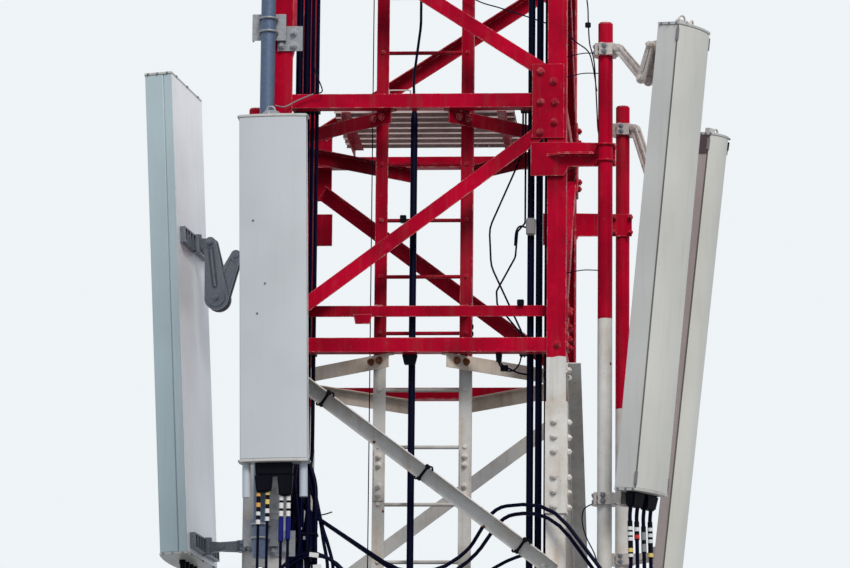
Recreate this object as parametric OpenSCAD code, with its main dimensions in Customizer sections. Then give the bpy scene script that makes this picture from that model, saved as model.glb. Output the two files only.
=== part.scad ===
// Lattice cell tower: a square, bolted mast of angle bars with a climbing ladder, an inner
// rest platform, feeder cables and four panel antennas on pole mounts.
// Millimetres, +Z up. The origin is at the centre of the four feet, on the ground.
// The front of the tower looks along -Y, and +X is on its right.

/* [Mast] */
// Width over the outside of the legs
tower_w = 1530; // [1500:10:1700]
// Height of one bay, from ring to ring
bay_h = 1290; // [1250:10:1400]
// Height of the top bay
top_bay_h = 1150; // [1100:10:1300]
// Flange width of a leg angle
leg_w = 100; // [90:5:120]
// Thickness of a leg angle
leg_t = 10; // [8:1:14]
// Depth of the joint between the leg sections below the fourth ring
leg_joint_drop = 590; // [550:10:640]
// Flange width of the struts and diagonals
brace_w = 75; // [60:5:80]
// Thickness of the struts and diagonals
brace_t = 6; // [5:1:10]
// Thickness of the gusset plates and the splice covers
plate_t = 10; // [6:1:14]

/* [Feet] */
// Side of a square base plate
base_w = 320; // [280:10:360]
// Thickness of a base plate
base_t = 25; // [16:1:40]
// Distance from the centre of a base plate to each anchor hole, along X and along Y
anchor_off = 115; // [105:5:120]
// Diameter of an anchor hole
anchor_d = 28; // [22:1:34]

/* [Ladder and platform] */
// Distance between the centres of the ladder stringers
ladder_w = 446; // [400:2:480]
// Distance of the ladder from the front of the tower
ladder_inset = 245; // [215:5:270]
// Distance between rungs
rung_step = 300; // [280:10:320]
// Diameter of a rung
rung_d = 20; // [16:1:26]
// Width of the platform slats
platform_w = 950; // [860:10:990]
// Distance between platform slats
slat_step = 125; // [110:5:130]

/* [Poles] */
// Outer diameter of an antenna pole
pole_d = 76; // [60:1:90]
// Length of the three painted poles
pole_len = 3500; // [3300:50:3800]
// Height of the top of the front right pole above the fifth ring
front_pole_rise = 390; // [360:10:450]
// Height of the top of the two rear poles above the fifth ring
rear_pole_rise = 330; // [260:10:360]
// Sideways reach of the front right pole from the leg's outer face
front_reach = 202; // [180:2:240]
// Sideways reach of the rear poles from the leg's outer face
rear_reach = 250; // [220:2:280]

/* [Panel antennas] */
// Width of the left panel
left_panel_w = 700; // [600:10:720]
// Length of the left panel
left_panel_len = 2650; // [2400:10:2700]
// Width of the front panel
front_panel_w = 345; // [320:5:360]
// Length of the front panel
front_panel_len = 1780; // [1700:10:1850]
// Width of the right panel
right_panel_w = 280; // [260:5:300]
// Length of the right panel
right_panel_len = 2380; // [2300:10:2500]
// Width of the rear panel
rear_panel_w = 170; // [150:5:200]
// Length of the rear panel
rear_panel_len = 2520; // [2400:10:2700]

/* [Cables] */
// Diameter of a feeder cable
feeder_d = 36; // [28:1:40]
// Diameter of a thin cable
lead_d = 14; // [10:1:18]
// Diameter of a jumper cable from a panel
jumper_d = 20; // [14:1:22]

/* [Hidden] */
$fn = 32;

red = [0.62, 0.02, 0.09];
white = [0.80, 0.78, 0.75];
zinc = [0.52, 0.53, 0.55];
black = [0.03, 0.03, 0.05];
radome_grey = [0.70, 0.72, 0.73];
tray_grey = [0.60, 0.62, 0.62];

half = tower_w / 2;
gap = 0.3;
bay_count = 6;
colour_level = 4;
sides = [0, 1, 2, 3];
// height of a ring above ground, by its number
function ring_z(k) = k < bay_count ? k * bay_h : (bay_count - 1) * bay_h + top_bay_h;
tower_h = ring_z(bay_count);
leg_joint_z = ring_z(colour_level) - leg_joint_drop;

// turns a piece of the front face to the face with the given number, counter-clockwise from above
module on_face(i) rotate([0, 0, 90 * i]) children();

// an angle bar along +Z with its heel at the origin and its flanges along +X and +Y
module angle_bar(length, w, t)
    linear_extrude(length)
        polygon([[0, 0], [w, 0], [w, t], [t, t], [t, w], [0, w]]);

// Feet
foot_overhang = 95;
foot_centre = half - base_w / 2 + foot_overhang;
rib_h = 160;
rib_len = 80;
module base_plates() color(zinc)
    for (i = sides) on_face(i) {
        difference() {
            translate([-foot_centre - base_w / 2, -foot_centre - base_w / 2, 0])
                cube([base_w, base_w, base_t]);
            for (sx = [-1, 1], sy = [-1, 1])
                translate([-foot_centre + sx * anchor_off, -foot_centre + sy * anchor_off, -1])
                    cylinder(d = anchor_d, h = base_t + 2);
        }
        foot_rib();
        mirror([1, -1, 0]) foot_rib();
    }

// one triangular rib that stiffens a foot, beside the leg's flange
module foot_rib()
    translate([-half - gap, -half, base_t])
        rotate([90, 0, 180])
            linear_extrude(leg_t)
                polygon([[0, 0], [rib_len, 0], [0, rib_h]]);

// Legs, in two sections that meet inside the splice covers
module leg_section(z0, z1)
    for (i = sides) on_face(i)
        translate([-half, -half, z0]) angle_bar(z1 - z0, leg_w, leg_t);
module lower_legs() color(white) leg_section(base_t, leg_joint_z);
module upper_legs() color(red) leg_section(leg_joint_z, tower_h);

splice_len = 580;
splice_margin = 5;
splice_w = leg_w + plate_t + splice_margin;
module leg_splices() color(white)
    for (i = sides) on_face(i)
        translate([-half - plate_t, -half - plate_t, leg_joint_z - splice_len / 2])
            angle_bar(splice_len, splice_w, plate_t);

// Diagonals: seen from outside each face, odd bays rise to the right and even bays fall.
// The lower ones lie on the legs, with a flange that stands outwards; the upper ones end
// on gusset plates between the legs, with their flange turned inwards.
end_drop = 107;
lower_end_inset = 8;
upper_end_clear = 28;
leg_line = half - leg_w / 2;
function bay_rise(k) = ring_z(k) - ring_z(k - 1) - 2 * end_drop;
function bay_angle(k) = atan2(bay_rise(k), 2 * leg_line);
function bay_mid(k) = (ring_z(k) + ring_z(k - 1)) / 2;
function bay_sign(k) = k % 2 == 1 ? 1 : -1;

// an angle bar that lies along X, centred, with its broad flange upright in the XZ plane
module lying_angle(length, w, t, out)
    translate([-length / 2, 0, -w / 2]) {
        cube([length, t, w]);
        translate([0, out ? t - w : 0, w - t]) cube([length, w, t]);
    }
module lower_diagonal(k)
    translate([0, -half - brace_t, bay_mid(k)])
        rotate([0, -bay_sign(k) * bay_angle(k), 0])
            lying_angle(2 * (leg_line - lower_end_inset) / cos(bay_angle(k)), brace_w, brace_t, true);
module upper_diagonal(k)
    translate([0, -half, bay_mid(k)])
        rotate([0, -bay_sign(k) * bay_angle(k), 0])
            lying_angle(2 * (half - leg_w - upper_end_clear) / cos(bay_angle(k)), brace_w, brace_t, false);
module lower_diagonals() color(white)
    for (i = sides, k = [1 : colour_level]) on_face(i) lower_diagonal(k);
module upper_diagonals() color(red)
    for (i = sides, k = [colour_level + 1 : bay_count]) on_face(i) upper_diagonal(k);

// Gusset plates on the outside of the legs, where the upper diagonals meet
gusset_reach = 80;
gusset_in = half - leg_w - gusset_reach;
gusset_side = 14;
// each gusset: its side of the face, its ring, and how far it goes below and above that ring
gussets = [[-1, colour_level, 15, 240], [1, colour_level + 1, 207, 188], [-1, bay_count, 240, 20]];
module gusset(side, ring, below, above)
    mirror([side > 0 ? 0 : 1, 0, 0])
        translate([gusset_in, -half - plate_t, ring_z(ring) - below])
            cube([half - gusset_side - gusset_in, plate_t, above + below]);
module gusset_plates() color(red)
    for (i = sides, g = gussets) on_face(i) gusset(g[0], g[1], g[2], g[3]);

// Struts: a ring of four at each level, behind the leg flanges, with coped ends
strut_y = -half + leg_t;
end_clear = 12;
cope_clear = 8;
module strut(z)
    translate([0, strut_y, z - brace_w / 2]) {
        translate([-(half - leg_t - end_clear), 0, 0])
            cube([2 * (half - leg_t - end_clear), brace_t, brace_w]);
        translate([-(half - leg_t - brace_w - cope_clear), 0, 0])
            cube([2 * (half - leg_t - brace_w - cope_clear), brace_w, brace_t]);
    }
module lower_struts() color(white)
    for (i = sides, k = [1 : colour_level - 1]) on_face(i) strut(ring_z(k));
module upper_struts() color(red)
    for (i = sides, k = [colour_level : bay_count]) on_face(i) strut(ring_z(k));

// Plan bracing: a diamond under each ring, with its bars hung from the struts
plan_mid_gap = 150;
plan_end_clear = 25;
plan_out = half - leg_t - plan_end_clear;
plan_len = (plan_out - plan_mid_gap) * sqrt(2);
module plan_bar(k)
    translate([(plan_out + plan_mid_gap) / 2, -(plan_out + plan_mid_gap) / 2,
               ring_z(k) - brace_w / 2 - brace_w])
        rotate([0, 0, 45])
            translate([-plan_len / 2, 0, 0]) {
                translate([0, -brace_t / 2, 0]) cube([plan_len, brace_t, brace_w]);
                translate([0, -brace_t / 2, brace_w - brace_t])
                    cube([plan_len, brace_w / 2 + brace_t, brace_t]);
            }
module lower_plan_bracing() color(white)
    for (i = sides, k = [1 : colour_level]) on_face(i) plan_bar(k);
module upper_plan_bracing() color(red)
    for (i = sides, k = [colour_level + 1 : bay_count]) on_face(i) plan_bar(k);

// Cable bearer: an extra strut between the side flanges of the front legs
bearer_w = 58;
bearer_rise = 190;
bearer_gap = 0.5;
bearer_z = ring_z(colour_level) + bearer_rise;
bearer_y = -half + leg_t + brace_w + bearer_gap;
module cable_bearer() color(red)
    translate([-(half - leg_t - gap), bearer_y, bearer_z - bearer_w / 2]) {
        cube([2 * (half - leg_t - gap), brace_t, bearer_w]);
        translate([0, 0, bearer_w - brace_t])
            cube([2 * (half - leg_t - gap), bearer_w / 2, brace_t]);
    }

// Ladder
ladder_x = 12;
ladder_y = -half + ladder_inset;
ladder_z0 = 300;
ladder_top_drop = 60;
rung_top_drop = 150;
stringer_w = 65;
stringer_t = 6;
rung_z0 = 465;
rung_count = floor((tower_h - rung_top_drop - rung_z0) / rung_step) + 1;
module ladder_stringers() color(red)
    for (s = [-1, 1])
        translate([ladder_x + s * ladder_w / 2, ladder_y, ladder_z0]) {
            translate([-stringer_w / 2, 0, 0])
                cube([stringer_w, stringer_t, tower_h - ladder_top_drop - ladder_z0]);
            translate([s * (stringer_w / 2 - stringer_t / 2) - stringer_t / 2, 0, 0])
                cube([stringer_t, stringer_w, tower_h - ladder_top_drop - ladder_z0]);
        }
rung_y = ladder_y + stringer_t + rung_d / 2;
rung_len = ladder_w + stringer_w - 2 * stringer_t - 2 * gap;
module ladder_rungs() color(red)
    for (n = [0 : rung_count - 1])
        translate([ladder_x - rung_len / 2, rung_y + gap, rung_z0 + n * rung_step])
            rotate([0, 90, 0]) cylinder(d = rung_d, h = rung_len, $fn = 16);

// flat brackets that hold the ladder to the struts and to the cable bearer
bracket_w = 40;
bracket_t = 6;
module ladder_bracket(s, y0, z)
    translate([ladder_x + s * ladder_w / 2 - bracket_w / 2, y0, z])
        cube([bracket_w, ladder_y - gap - y0, bracket_t]);
module ladder_brackets() color(red)
    for (s = [-1, 1]) {
        for (k = [1 : bay_count])
            ladder_bracket(s, strut_y + brace_t + gap, ring_z(k) - brace_w / 2 + brace_t);
        ladder_bracket(s, bearer_y + brace_t + gap, bearer_z + bearer_w / 2);
    }

// Rest platform inside the tower, carried by the plan bracing of the fifth ring
platform_z = ring_z(5) - brace_w / 2;
carrier_h = 50;
carrier_t = 5;
carrier_inset = 45;
carrier_lap = 6;
carrier_x = platform_w / 2 - carrier_inset;
carrier_y = plan_out + plan_mid_gap - carrier_x + carrier_lap;
module platform_carriers() color(red)
    for (s = [-1, 1]) mirror([s > 0 ? 0 : 1, 0, 0])
        translate([carrier_x, -carrier_y, platform_z]) {
            cube([carrier_t, 2 * carrier_y, carrier_h]);
            translate([-carrier_h + carrier_t, 0, carrier_h - carrier_t])
                cube([carrier_h, 2 * carrier_y, carrier_t]);
        }
slat_w = 90;
slat_h = 22;
slat_wall = 4;
slat_top = 4;
slat_count = floor((2 * carrier_y - slat_w) / slat_step) + 1;
module platform_slats() color([0.42, 0.36, 0.35])
    for (n = [0 : slat_count - 1])
        translate([-platform_w / 2, (n - (slat_count - 1) / 2) * slat_step - slat_w / 2,
                   platform_z + carrier_h])
            difference() {
                cube([platform_w, slat_w, slat_h]);
                translate([-1, slat_wall, -1])
                    cube([platform_w + 2, slat_w - 2 * slat_wall, slat_h - slat_top + 1]);
            }

// Poles for the antennas
pole_r = pole_d / 2;
pole_y = half + 2 * plate_t + pole_r;
pole_x_front = half + front_reach;
pole_x_rear = half + rear_reach;
channel_d = 40;
left_pole_out = 22;
left_pole_x = -half - left_pole_out;
left_pole_y = -(half + plate_t + channel_d + pole_r);
left_arm_under_splice = 105;
left_pole_below_arm = 135;
left_arm_z = [leg_joint_z - splice_len / 2 - left_arm_under_splice, ring_z(5) + 382];
left_pole_z = left_arm_z[0] - left_pole_below_arm;
left_pole_top = ring_z(5) + 850;
pole_cap_h = 6;
pole_cap_step = 5;
front_pole_top = ring_z(5) + front_pole_rise;
rear_pole_top = ring_z(5) + rear_pole_rise;
module pole(x, y, z0, z1)
    translate([x, y, z0]) {
        cylinder(r = pole_r, h = z1 - z0 - pole_cap_h);
        cylinder(r = pole_r - pole_cap_step, h = z1 - z0);
    }
module pole_front_left() color(zinc) pole(left_pole_x, left_pole_y, left_pole_z, left_pole_top);
module pole_front_right() color(red)
    pole(pole_x_front, -pole_y, front_pole_top - pole_len, front_pole_top);
module pole_rear_left() color(white)
    pole(-pole_x_rear, pole_y, rear_pole_top - pole_len, rear_pole_top);
module pole_rear_right() color(red)
    pole(pole_x_rear, pole_y, rear_pole_top - pole_len, rear_pole_top);

// Arms: a bolted plate on the leg that tapers into the pole's seat, and a rib across it
arm_h = 122;
arm_foot_low = 109;
arm_foot_high = 68;
arm_foot_side = 14;
arm_foot_reach = 85;
arm_neck = 10;
arm_lip = 14;
arm_rib_w = 60;
packer_h = 168;
packer_low = 104;
packer_inset = 4;
u_bolt_d = 12;
u_bolt_step = 42;
module plate_arm(pole_x, z)
    translate([0, -half - plate_t, z])
        rotate([90, 0, 0])
            linear_extrude(plate_t - gap)
                polygon([[half - leg_w - arm_foot_reach, -arm_foot_low],
                         [half - arm_foot_side, -arm_foot_low],
                         [half + arm_neck, -arm_h / 2], [pole_x + pole_r + arm_lip, -arm_h / 2],
                         [pole_x + pole_r + arm_lip, arm_h / 2], [half - arm_foot_side, arm_foot_high],
                         [half - leg_w - arm_foot_reach, arm_foot_high]]);
module arm_rib(pole_x, z)
    translate([0, -half - plate_t, z - plate_t / 2])
        linear_extrude(plate_t)
            polygon([[half - leg_w, -plate_t - gap], [half - 2 * arm_neck, -arm_rib_w],
                     [pole_x - pole_r - arm_neck - arm_lip, -arm_rib_w],
                     [pole_x - pole_r - arm_neck, -plate_t - gap]]);
// the seat plate fills the space between the leg's face and the arm
module arm_packer(z)
    translate([half - leg_w + packer_inset, -half - plate_t + gap / 2, z - packer_low])
        cube([leg_w - 5 * packer_inset, plate_t - gap, packer_h]);
// a U-bolt round the pole, in halves of a ring and two straight shanks
module u_bolt(pole_x, z)
    translate([pole_x, -pole_y, z]) {
        difference() {
            rotate_extrude() translate([pole_r + u_bolt_d / 2 + gap, 0]) circle(d = u_bolt_d, $fn = 16);
            translate([-pole_d, 0, -u_bolt_d]) cube([2 * pole_d, pole_d, 2 * u_bolt_d]);
        }
        for (s = [-1, 1])
            translate([s * (pole_r + u_bolt_d / 2 + gap), 0, 0])
                rotate([-90, 0, 0]) cylinder(d = u_bolt_d, h = pole_r - gap, $fn = 16);
    }
module arm_pair(pole_x, z_list)
    for (z = z_list) {
        plate_arm(pole_x, z);
        arm_rib(pole_x, z);
        arm_packer(z);
        for (s = [-1, 1]) u_bolt(pole_x, z + s * u_bolt_step);
    }
low_arm_z = ring_z(3) - 390;
front_arm_z = ring_z(5) - 300;
rear_arm_z = ring_z(5) - 347;
module arms_front_right() color(red) arm_pair(pole_x_front, [low_arm_z, front_arm_z]);
module arms_rear_right() color(red)
    mirror([0, 1, 0]) arm_pair(pole_x_rear, [low_arm_z, rear_arm_z]);
module arms_rear_left() color(white)
    rotate([0, 0, 180]) arm_pair(pole_x_rear, [low_arm_z, rear_arm_z]);

// the galvanised brackets of the front left pole: a plate on the leg and a channel
channel_w = 175;
channel_h = 140;
channel_t = 8;
channel_bolt_step = 35;
foot_plate = [130, 132];
foot_plate_in = 20;
foot_plate_low = 117;
module arms_front_left() color(zinc)
    for (z = left_arm_z) {
        translate([-half + foot_plate_in, -half - plate_t, z - foot_plate_low])
            cube([foot_plate.x, plate_t - gap, foot_plate.y]);
        translate([left_pole_x - channel_w / 2, -half - plate_t - channel_d + gap, z - channel_h / 2])
            difference() {
                cube([channel_w, channel_d - 2 * gap, channel_h]);
                translate([channel_t, channel_t, -1])
                    cube([channel_w - 2 * channel_t, channel_d, channel_h + 2]);
            }
        for (s = [-1, 1])
            translate([left_pole_x, left_pole_y + pole_y, 0])
                u_bolt(0, z + s * channel_bolt_step);
    }

// Panel antennas
// A panel's own frame: X along its width, +Y out of its front, +Z up along its length,
// with the origin at the middle of its back, level with its lower hinge.
panel_lip = 3;
cap_t = 14;
groove = 5;

// Each panel: its pole's [x, y], the way it faces in degrees, how far its back stands off
// the pole, the height of its hinge, its tilt, its [width, depth, length], the depth of its
// tray, the crown of its radome, how far its lower end lies above the hinge, and its sideways lean.
left_panel = [[-pole_x_rear, pole_y], 172.7, 258.5, ring_z(5) - 2200, 3,
              [left_panel_w, 181, left_panel_len], 45, 30, 16, 0];
front_panel = [[left_pole_x + 79, left_pole_y], -90, 100, ring_z(5) - 1790, 0,
               [front_panel_w, 112, front_panel_len], 30, 14, -141, 1.05];
right_panel = [[pole_x_front, -pole_y], -33, 154.5, ring_z(5) - 2105, 6.35,
               [right_panel_w, 158, right_panel_len], 124, 26, 32, 0];
rear_panel = [[pole_x_rear, pole_y], -34, 269, ring_z(5) - 2200, 7.4,
              [rear_panel_w, 111, rear_panel_len], 68, 36, -219, 0];
function pole_of(p) = p[0];
function facing(p) = p[1];
function stand_off(p) = p[2];
function hinge_z(p) = p[3];
function tilt(p) = p[4];
function width(p) = p[5].x;
function depth(p) = p[5].y;
function length_of(p) = p[5].z;
function tray_depth(p) = p[6];
function crown(p) = p[7];
function low_end(p) = p[8];
function lean(p) = p[9];
function crown_radius(w, c) = (w * w / 4 + c * c) / (2 * c);

// puts children, made in a panel's own frame with its lower end at Z = 0, in the tower's frame
module in_panel(p)
    translate([pole_of(p).x, pole_of(p).y, hinge_z(p)])
        rotate([0, 0, facing(p)]) translate([stand_off(p), 0, 0])
            rotate([0, 0, -90]) rotate([-tilt(p), 0, 0]) rotate([0, lean(p), 0])
                translate([0, 0, low_end(p)]) children();
// the same for one point
function panel_point(p, v) =
    let (high = v.z + low_end(p),
         x = v.x * cos(lean(p)) + high * sin(lean(p)),
         up = high * cos(lean(p)) - v.x * sin(lean(p)),
         y = v.y * cos(tilt(p)) + up * sin(tilt(p)),
         z = up * cos(tilt(p)) - v.y * sin(tilt(p)),
         out = stand_off(p) + y)
    [pole_of(p).x + out * cos(facing(p)) + x * sin(facing(p)),
     pole_of(p).y + out * sin(facing(p)) - x * cos(facing(p)),
     hinge_z(p) + z];

// outline of a panel seen from above: straight sides and a crowned front
module panel_outline(w, d, c)
    intersection() {
        translate([-w / 2, 0]) square([w, d]);
        translate([0, d - crown_radius(w, c)]) circle(r = crown_radius(w, c), $fn = 96);
    }
module radome(p)
    in_panel(p)
        translate([0, tray_depth(p) + groove, 0])
            linear_extrude(length_of(p))
                panel_outline(width(p), depth(p) - tray_depth(p) - groove, crown(p));
// the tray is a little narrower than the radome, and its neck leaves a groove below the radome
module tray(p)
    in_panel(p)
        linear_extrude(length_of(p)) {
            translate([1 - width(p) / 2, 0]) square([width(p) - 2, tray_depth(p)]);
            translate([8 - width(p) / 2, 0]) square([width(p) - 16, tray_depth(p) + groove - gap]);
        }
module end_caps(p)
    in_panel(p)
        for (z = [-cap_t - gap, length_of(p) + gap])
            translate([0, 0, z])
                linear_extrude(cap_t)
                    panel_outline(width(p) + 2 * panel_lip, depth(p) + panel_lip, crown(p));
// the small eye and block on top of a panel, that it was lifted by
module lifting_eye(p)
    in_panel(p)
        translate([0, tray_depth(p) / 2, length_of(p) + cap_t + 2 * gap]) {
            translate([-22, 0, 0]) rotate([90, 0, 0])
                difference() {
                    translate([0, 14, 0]) cylinder(r = 24, h = 10, center = true);
                    translate([0, 16, 0]) cylinder(r = 13, h = 12, center = true);
                    translate([-30, -30, -10]) cube([60, 30, 20]);
                }
            translate([12, -16, 0]) cube([44, 32, 30]);
        }
module left_panel_radome() color(radome_grey) radome(left_panel);
module left_panel_tray() color(tray_grey) tray(left_panel);
module front_panel_radome() color(radome_grey) radome(front_panel);
module front_panel_tray() color(tray_grey) tray(front_panel);
module right_panel_radome() color(radome_grey) radome(right_panel);
module right_panel_tray() color(tray_grey) tray(right_panel);
module rear_panel_radome() color(radome_grey) radome(rear_panel);
module rear_panel_tray() color(tray_grey) tray(rear_panel);
module panel_end_caps() color(tray_grey) {
    for (p = [left_panel, front_panel, right_panel, rear_panel]) end_caps(p);
    for (p = [right_panel, rear_panel]) lifting_eye(p);
}

// Tilt brackets
// A bracket's own frame: X out from the pole's centre towards the panel, Z up.
pin_d = 18;
pin_head = 8;
tongue_t = 28;
cheek_t = 12;
cheek_gap = 1;
pivot_r = 24;
rail_h = 86;
rail_d = 30;
rail_t = 8;
rail_rib_step = 58;
jaw_h = 62;
jaw_reach = 24;
jaw_gap = 12;
ear_y = pole_r + 30;
rod_y = pole_r + 16;
rod_d = 12;
rod_reach = 30;
lug_len = 112;
module in_bracket(p, z = 0)
    translate([pole_of(p).x, pole_of(p).y, z]) rotate([0, 0, facing(p)]) children();
// distance from the pole's centre to the panel's back, at a height
function back_at(p, z) = stand_off(p) + (z - hinge_z(p)) * tan(tilt(p));

// a plate in the bracket's XZ plane, from y0 to y0 + t
module side_plate(y0, t)
    translate([0, y0 + t, 0]) rotate([90, 0, 0]) linear_extrude(t) children();
// outline of two circles joined by straight sides that run into them just inside their tangents
flank_inset = 0.4;
module tapered(a, b, ra, rb) {
    long = norm(b - a);
    lean = acos((ra - rb) / long);
    across = [cos(lean), sin(lean)];
    pa = (ra - flank_inset) * across;
    pb = [long, 0] + (rb - flank_inset) * across;
    translate(a) rotate(atan2(b.y - a.y, b.x - a.x)) {
        circle(ra);
        translate([long, 0]) circle(rb);
        polygon([pa, pb, [pb.x, -pb.y], [pa.x, -pa.y]]);
    }
}
// a cast arm: two cheeks at a distance of y_in from the middle, with a web between them
// and a shallow pocket in each outer face
module cast_arm(a, b, ra, rb, y_in) {
    long = norm(b - a);
    pocket = 5;
    for (side = [-1, 1])
        difference() {
            side_plate(side > 0 ? y_in : -y_in - cheek_t, cheek_t) tapered(a, b, ra, rb);
            side_plate(side > 0 ? y_in + cheek_t - pocket : -y_in - cheek_t - 1, pocket + 1)
                translate(a) rotate(atan2(b.y - a.y, b.x - a.x))
                    translate([ra + 2, 10 - ra]) square([long - ra - rb - 6, 2 * ra - 20]);
        }
    side_plate(-y_in - 1, 2 * y_in + 2)
        translate(a) rotate(atan2(b.y - a.y, b.x - a.x))
            translate([ra + 4, -rail_t / 2]) square([long - ra - rb - 8, rail_t]);
}
module pivot(at, half_w) {
    translate([at.x, half_w, at.y]) rotate([90, 0, 0]) cylinder(d = pin_d, h = 2 * half_w, $fn = 24);
    for (side = [-1, 1])
        translate([at.x, side * (half_w + pin_head / 2), at.y])
            rotate([90, 0, 0]) cylinder(d = 1.7 * pin_d, h = pin_head, center = true, $fn = 6);
}

// one jaw of a pole clamp, seen from above, on the side of the pole that X points to
module jaw_outline()
    difference() {
        polygon([[jaw_gap / 2, -ear_y], [jaw_gap / 2 + 14, -ear_y], [pole_r - 8, -pole_r - 4],
                 [pole_r + jaw_reach, -pole_r + 10], [pole_r + jaw_reach, pole_r - 10],
                 [pole_r - 8, pole_r + 4], [jaw_gap / 2 + 14, ear_y], [jaw_gap / 2, ear_y]]);
        circle(r = pole_r + gap);
    }
// the two jaws, with a pocket in the back one, and the four rods that draw them together
module pole_clamp() {
    translate([0, 0, -jaw_h / 2]) linear_extrude(jaw_h) jaw_outline();
    mirror([1, 0, 0])
        difference() {
            translate([0, 0, -jaw_h / 2]) linear_extrude(jaw_h) jaw_outline();
            translate([pole_r + jaw_reach - 12, -pole_r, -jaw_h / 2 + 9]) cube([20, 2 * pole_r, jaw_h - 18]);
        }
    for (y = [-rod_y, rod_y], z = [-jaw_h / 4, jaw_h / 4])
        translate([-jaw_gap / 2 - rod_reach, y, z])
            rotate([0, 90, 0]) cylinder(d = rod_d, h = jaw_gap + 2 * rod_reach, $fn = 16);
}

// the ribbed rail across a panel's back, with a boss and a tongue that ends at a pivot
module panel_rail(p, z, w, pivot_x) {
    back = back_at(p, z);
    rib_count = floor(w / rail_rib_step);
    translate([back - gap, 0, z]) rotate([0, tilt(p), 0]) {
        translate([-rail_t, -w / 2, -rail_h / 2]) cube([rail_t, w, rail_h]);
        for (edge = [-rail_h / 2, rail_h / 2 - rail_t])
            translate([-rail_d, -w / 2, edge]) cube([rail_d, w, rail_t]);
        for (n = [0 : rib_count])
            translate([-rail_d, (n / rib_count - 0.5) * (w - rail_t) - rail_t / 2, -rail_h / 2])
                cube([rail_d, rail_t, rail_h]);
        translate([-rail_d, 0, -rail_h / 2 - 6]) cylinder(r = 26, h = rail_h + 12);
    }
    side_plate(-tongue_t / 2, tongue_t)
        tapered([pivot_x, z], [back - rail_d - 4, z], pivot_r, pivot_r + 8);
}

// Each tilt bracket: the heights of its pole end, its hub and its rail above its panel's hinge, the
// hub's distance from the pole, the radii of an arm's small end and of the hub, and the rail's width.
left_tilt = [[1700, 1462, 1775], 199, [30, 68], 560];
right_tilt = [[2347, 2160, 2330], 246, [19, 27], 190];
rear_tilt = [[2394, 2080, 2190], 200, [19, 27], 130];
// the scissor bracket at a panel's upper end: two cast arms that meet in a hub below
module scissor(p, b) {
    z_pole = hinge_z(p) + b[0].x;
    z_panel = hinge_z(p) + b[0].z;
    arm_r = b[2].x;
    hub_r = b[2].y;
    at_pole = [pole_r + jaw_reach + arm_r + 4, z_pole];
    at_hub = [b[1], hinge_z(p) + b[0].y];
    at_panel = [back_at(p, z_panel) - lug_len, z_panel];
    inner = tongue_t / 2 + cheek_gap;
    outer = inner + cheek_t + cheek_gap;
    in_bracket(p) {
        translate([0, 0, z_pole]) pole_clamp();
        side_plate(-tongue_t / 2, tongue_t)
            tapered([pole_r + pivot_r + 4, z_pole], at_pole, pivot_r + 2, pivot_r);
        cast_arm(at_pole, at_hub, arm_r, hub_r - 5, inner);
        cast_arm(at_panel, at_hub, arm_r, hub_r, outer);
        pivot(at_pole, inner + cheek_t);
        pivot(at_hub, outer + cheek_t);
        pivot(at_panel, outer + cheek_t);
        for (side = [-1, 1])
            translate([at_panel.x, side * (tongue_t / 2 + outer) / 2, at_panel.y])
                rotate([90, 0, 0]) cylinder(r = pivot_r - 6, h = outer - tongue_t / 2 + 1, center = true);
        panel_rail(p, z_panel, b[3], at_panel.x);
    }
}
// the hinge at a panel's lower end: cheeks from the pole clamp hold the rail's tongue on one pin
module hinge_bracket(p, rise, w) {
    z = hinge_z(p) + rise;
    back = back_at(p, z);
    at_pin = [(pole_r + jaw_reach + back - rail_d) / 2, z];
    in_bracket(p) {
        translate([0, 0, z]) pole_clamp();
        for (y0 = [-tongue_t / 2 - cheek_gap - cheek_t, tongue_t / 2 + cheek_gap])
            side_plate(y0, cheek_t)
                tapered([pole_r + pivot_r + 6, z], at_pin, pivot_r + 4, pivot_r);
        pivot(at_pin, tongue_t / 2 + cheek_gap + cheek_t);
        panel_rail(p, z, w, at_pin.x);
    }
}
module bracket_left() color(zinc) {
    scissor(left_panel, left_tilt);
    hinge_bracket(left_panel, 84, left_tilt[3]);
}
module bracket_right() color(zinc) {
    scissor(right_panel, right_tilt);
    hinge_bracket(right_panel, -2, 150);
}
module bracket_rear() color(zinc) {
    scissor(rear_panel, rear_tilt);
    hinge_bracket(rear_panel, 10, rear_tilt[3]);
}
// the front panel is held upright: a clamp and a plain foot at each end
module bracket_front() color(zinc)
    for (z = [hinge_z(front_panel) - 20, hinge_z(front_panel) + length_of(front_panel) - 220])
        translate([left_pole_x, left_pole_y, z]) rotate([0, 0, facing(front_panel)]) {
            pole_clamp();
            translate([pole_r + jaw_reach - 1, -24, -jaw_h / 2])
                cube([stand_off(front_panel) - gap - pole_r - jaw_reach + 1, 110, jaw_h]);
        }

// two round skirts that hang from the ends of the front panel's lower cap
skirt_r = 21;
skirt_h = 175;
module panel_skirts() color(white)
    in_panel(front_panel)
        for (x = [-front_panel_w / 2 + skirt_r + 4, front_panel_w / 2 - skirt_r - 8])
            translate([x, 48, -cap_t - 2 * gap - skirt_h]) cylinder(r = skirt_r, h = skirt_h);

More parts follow.
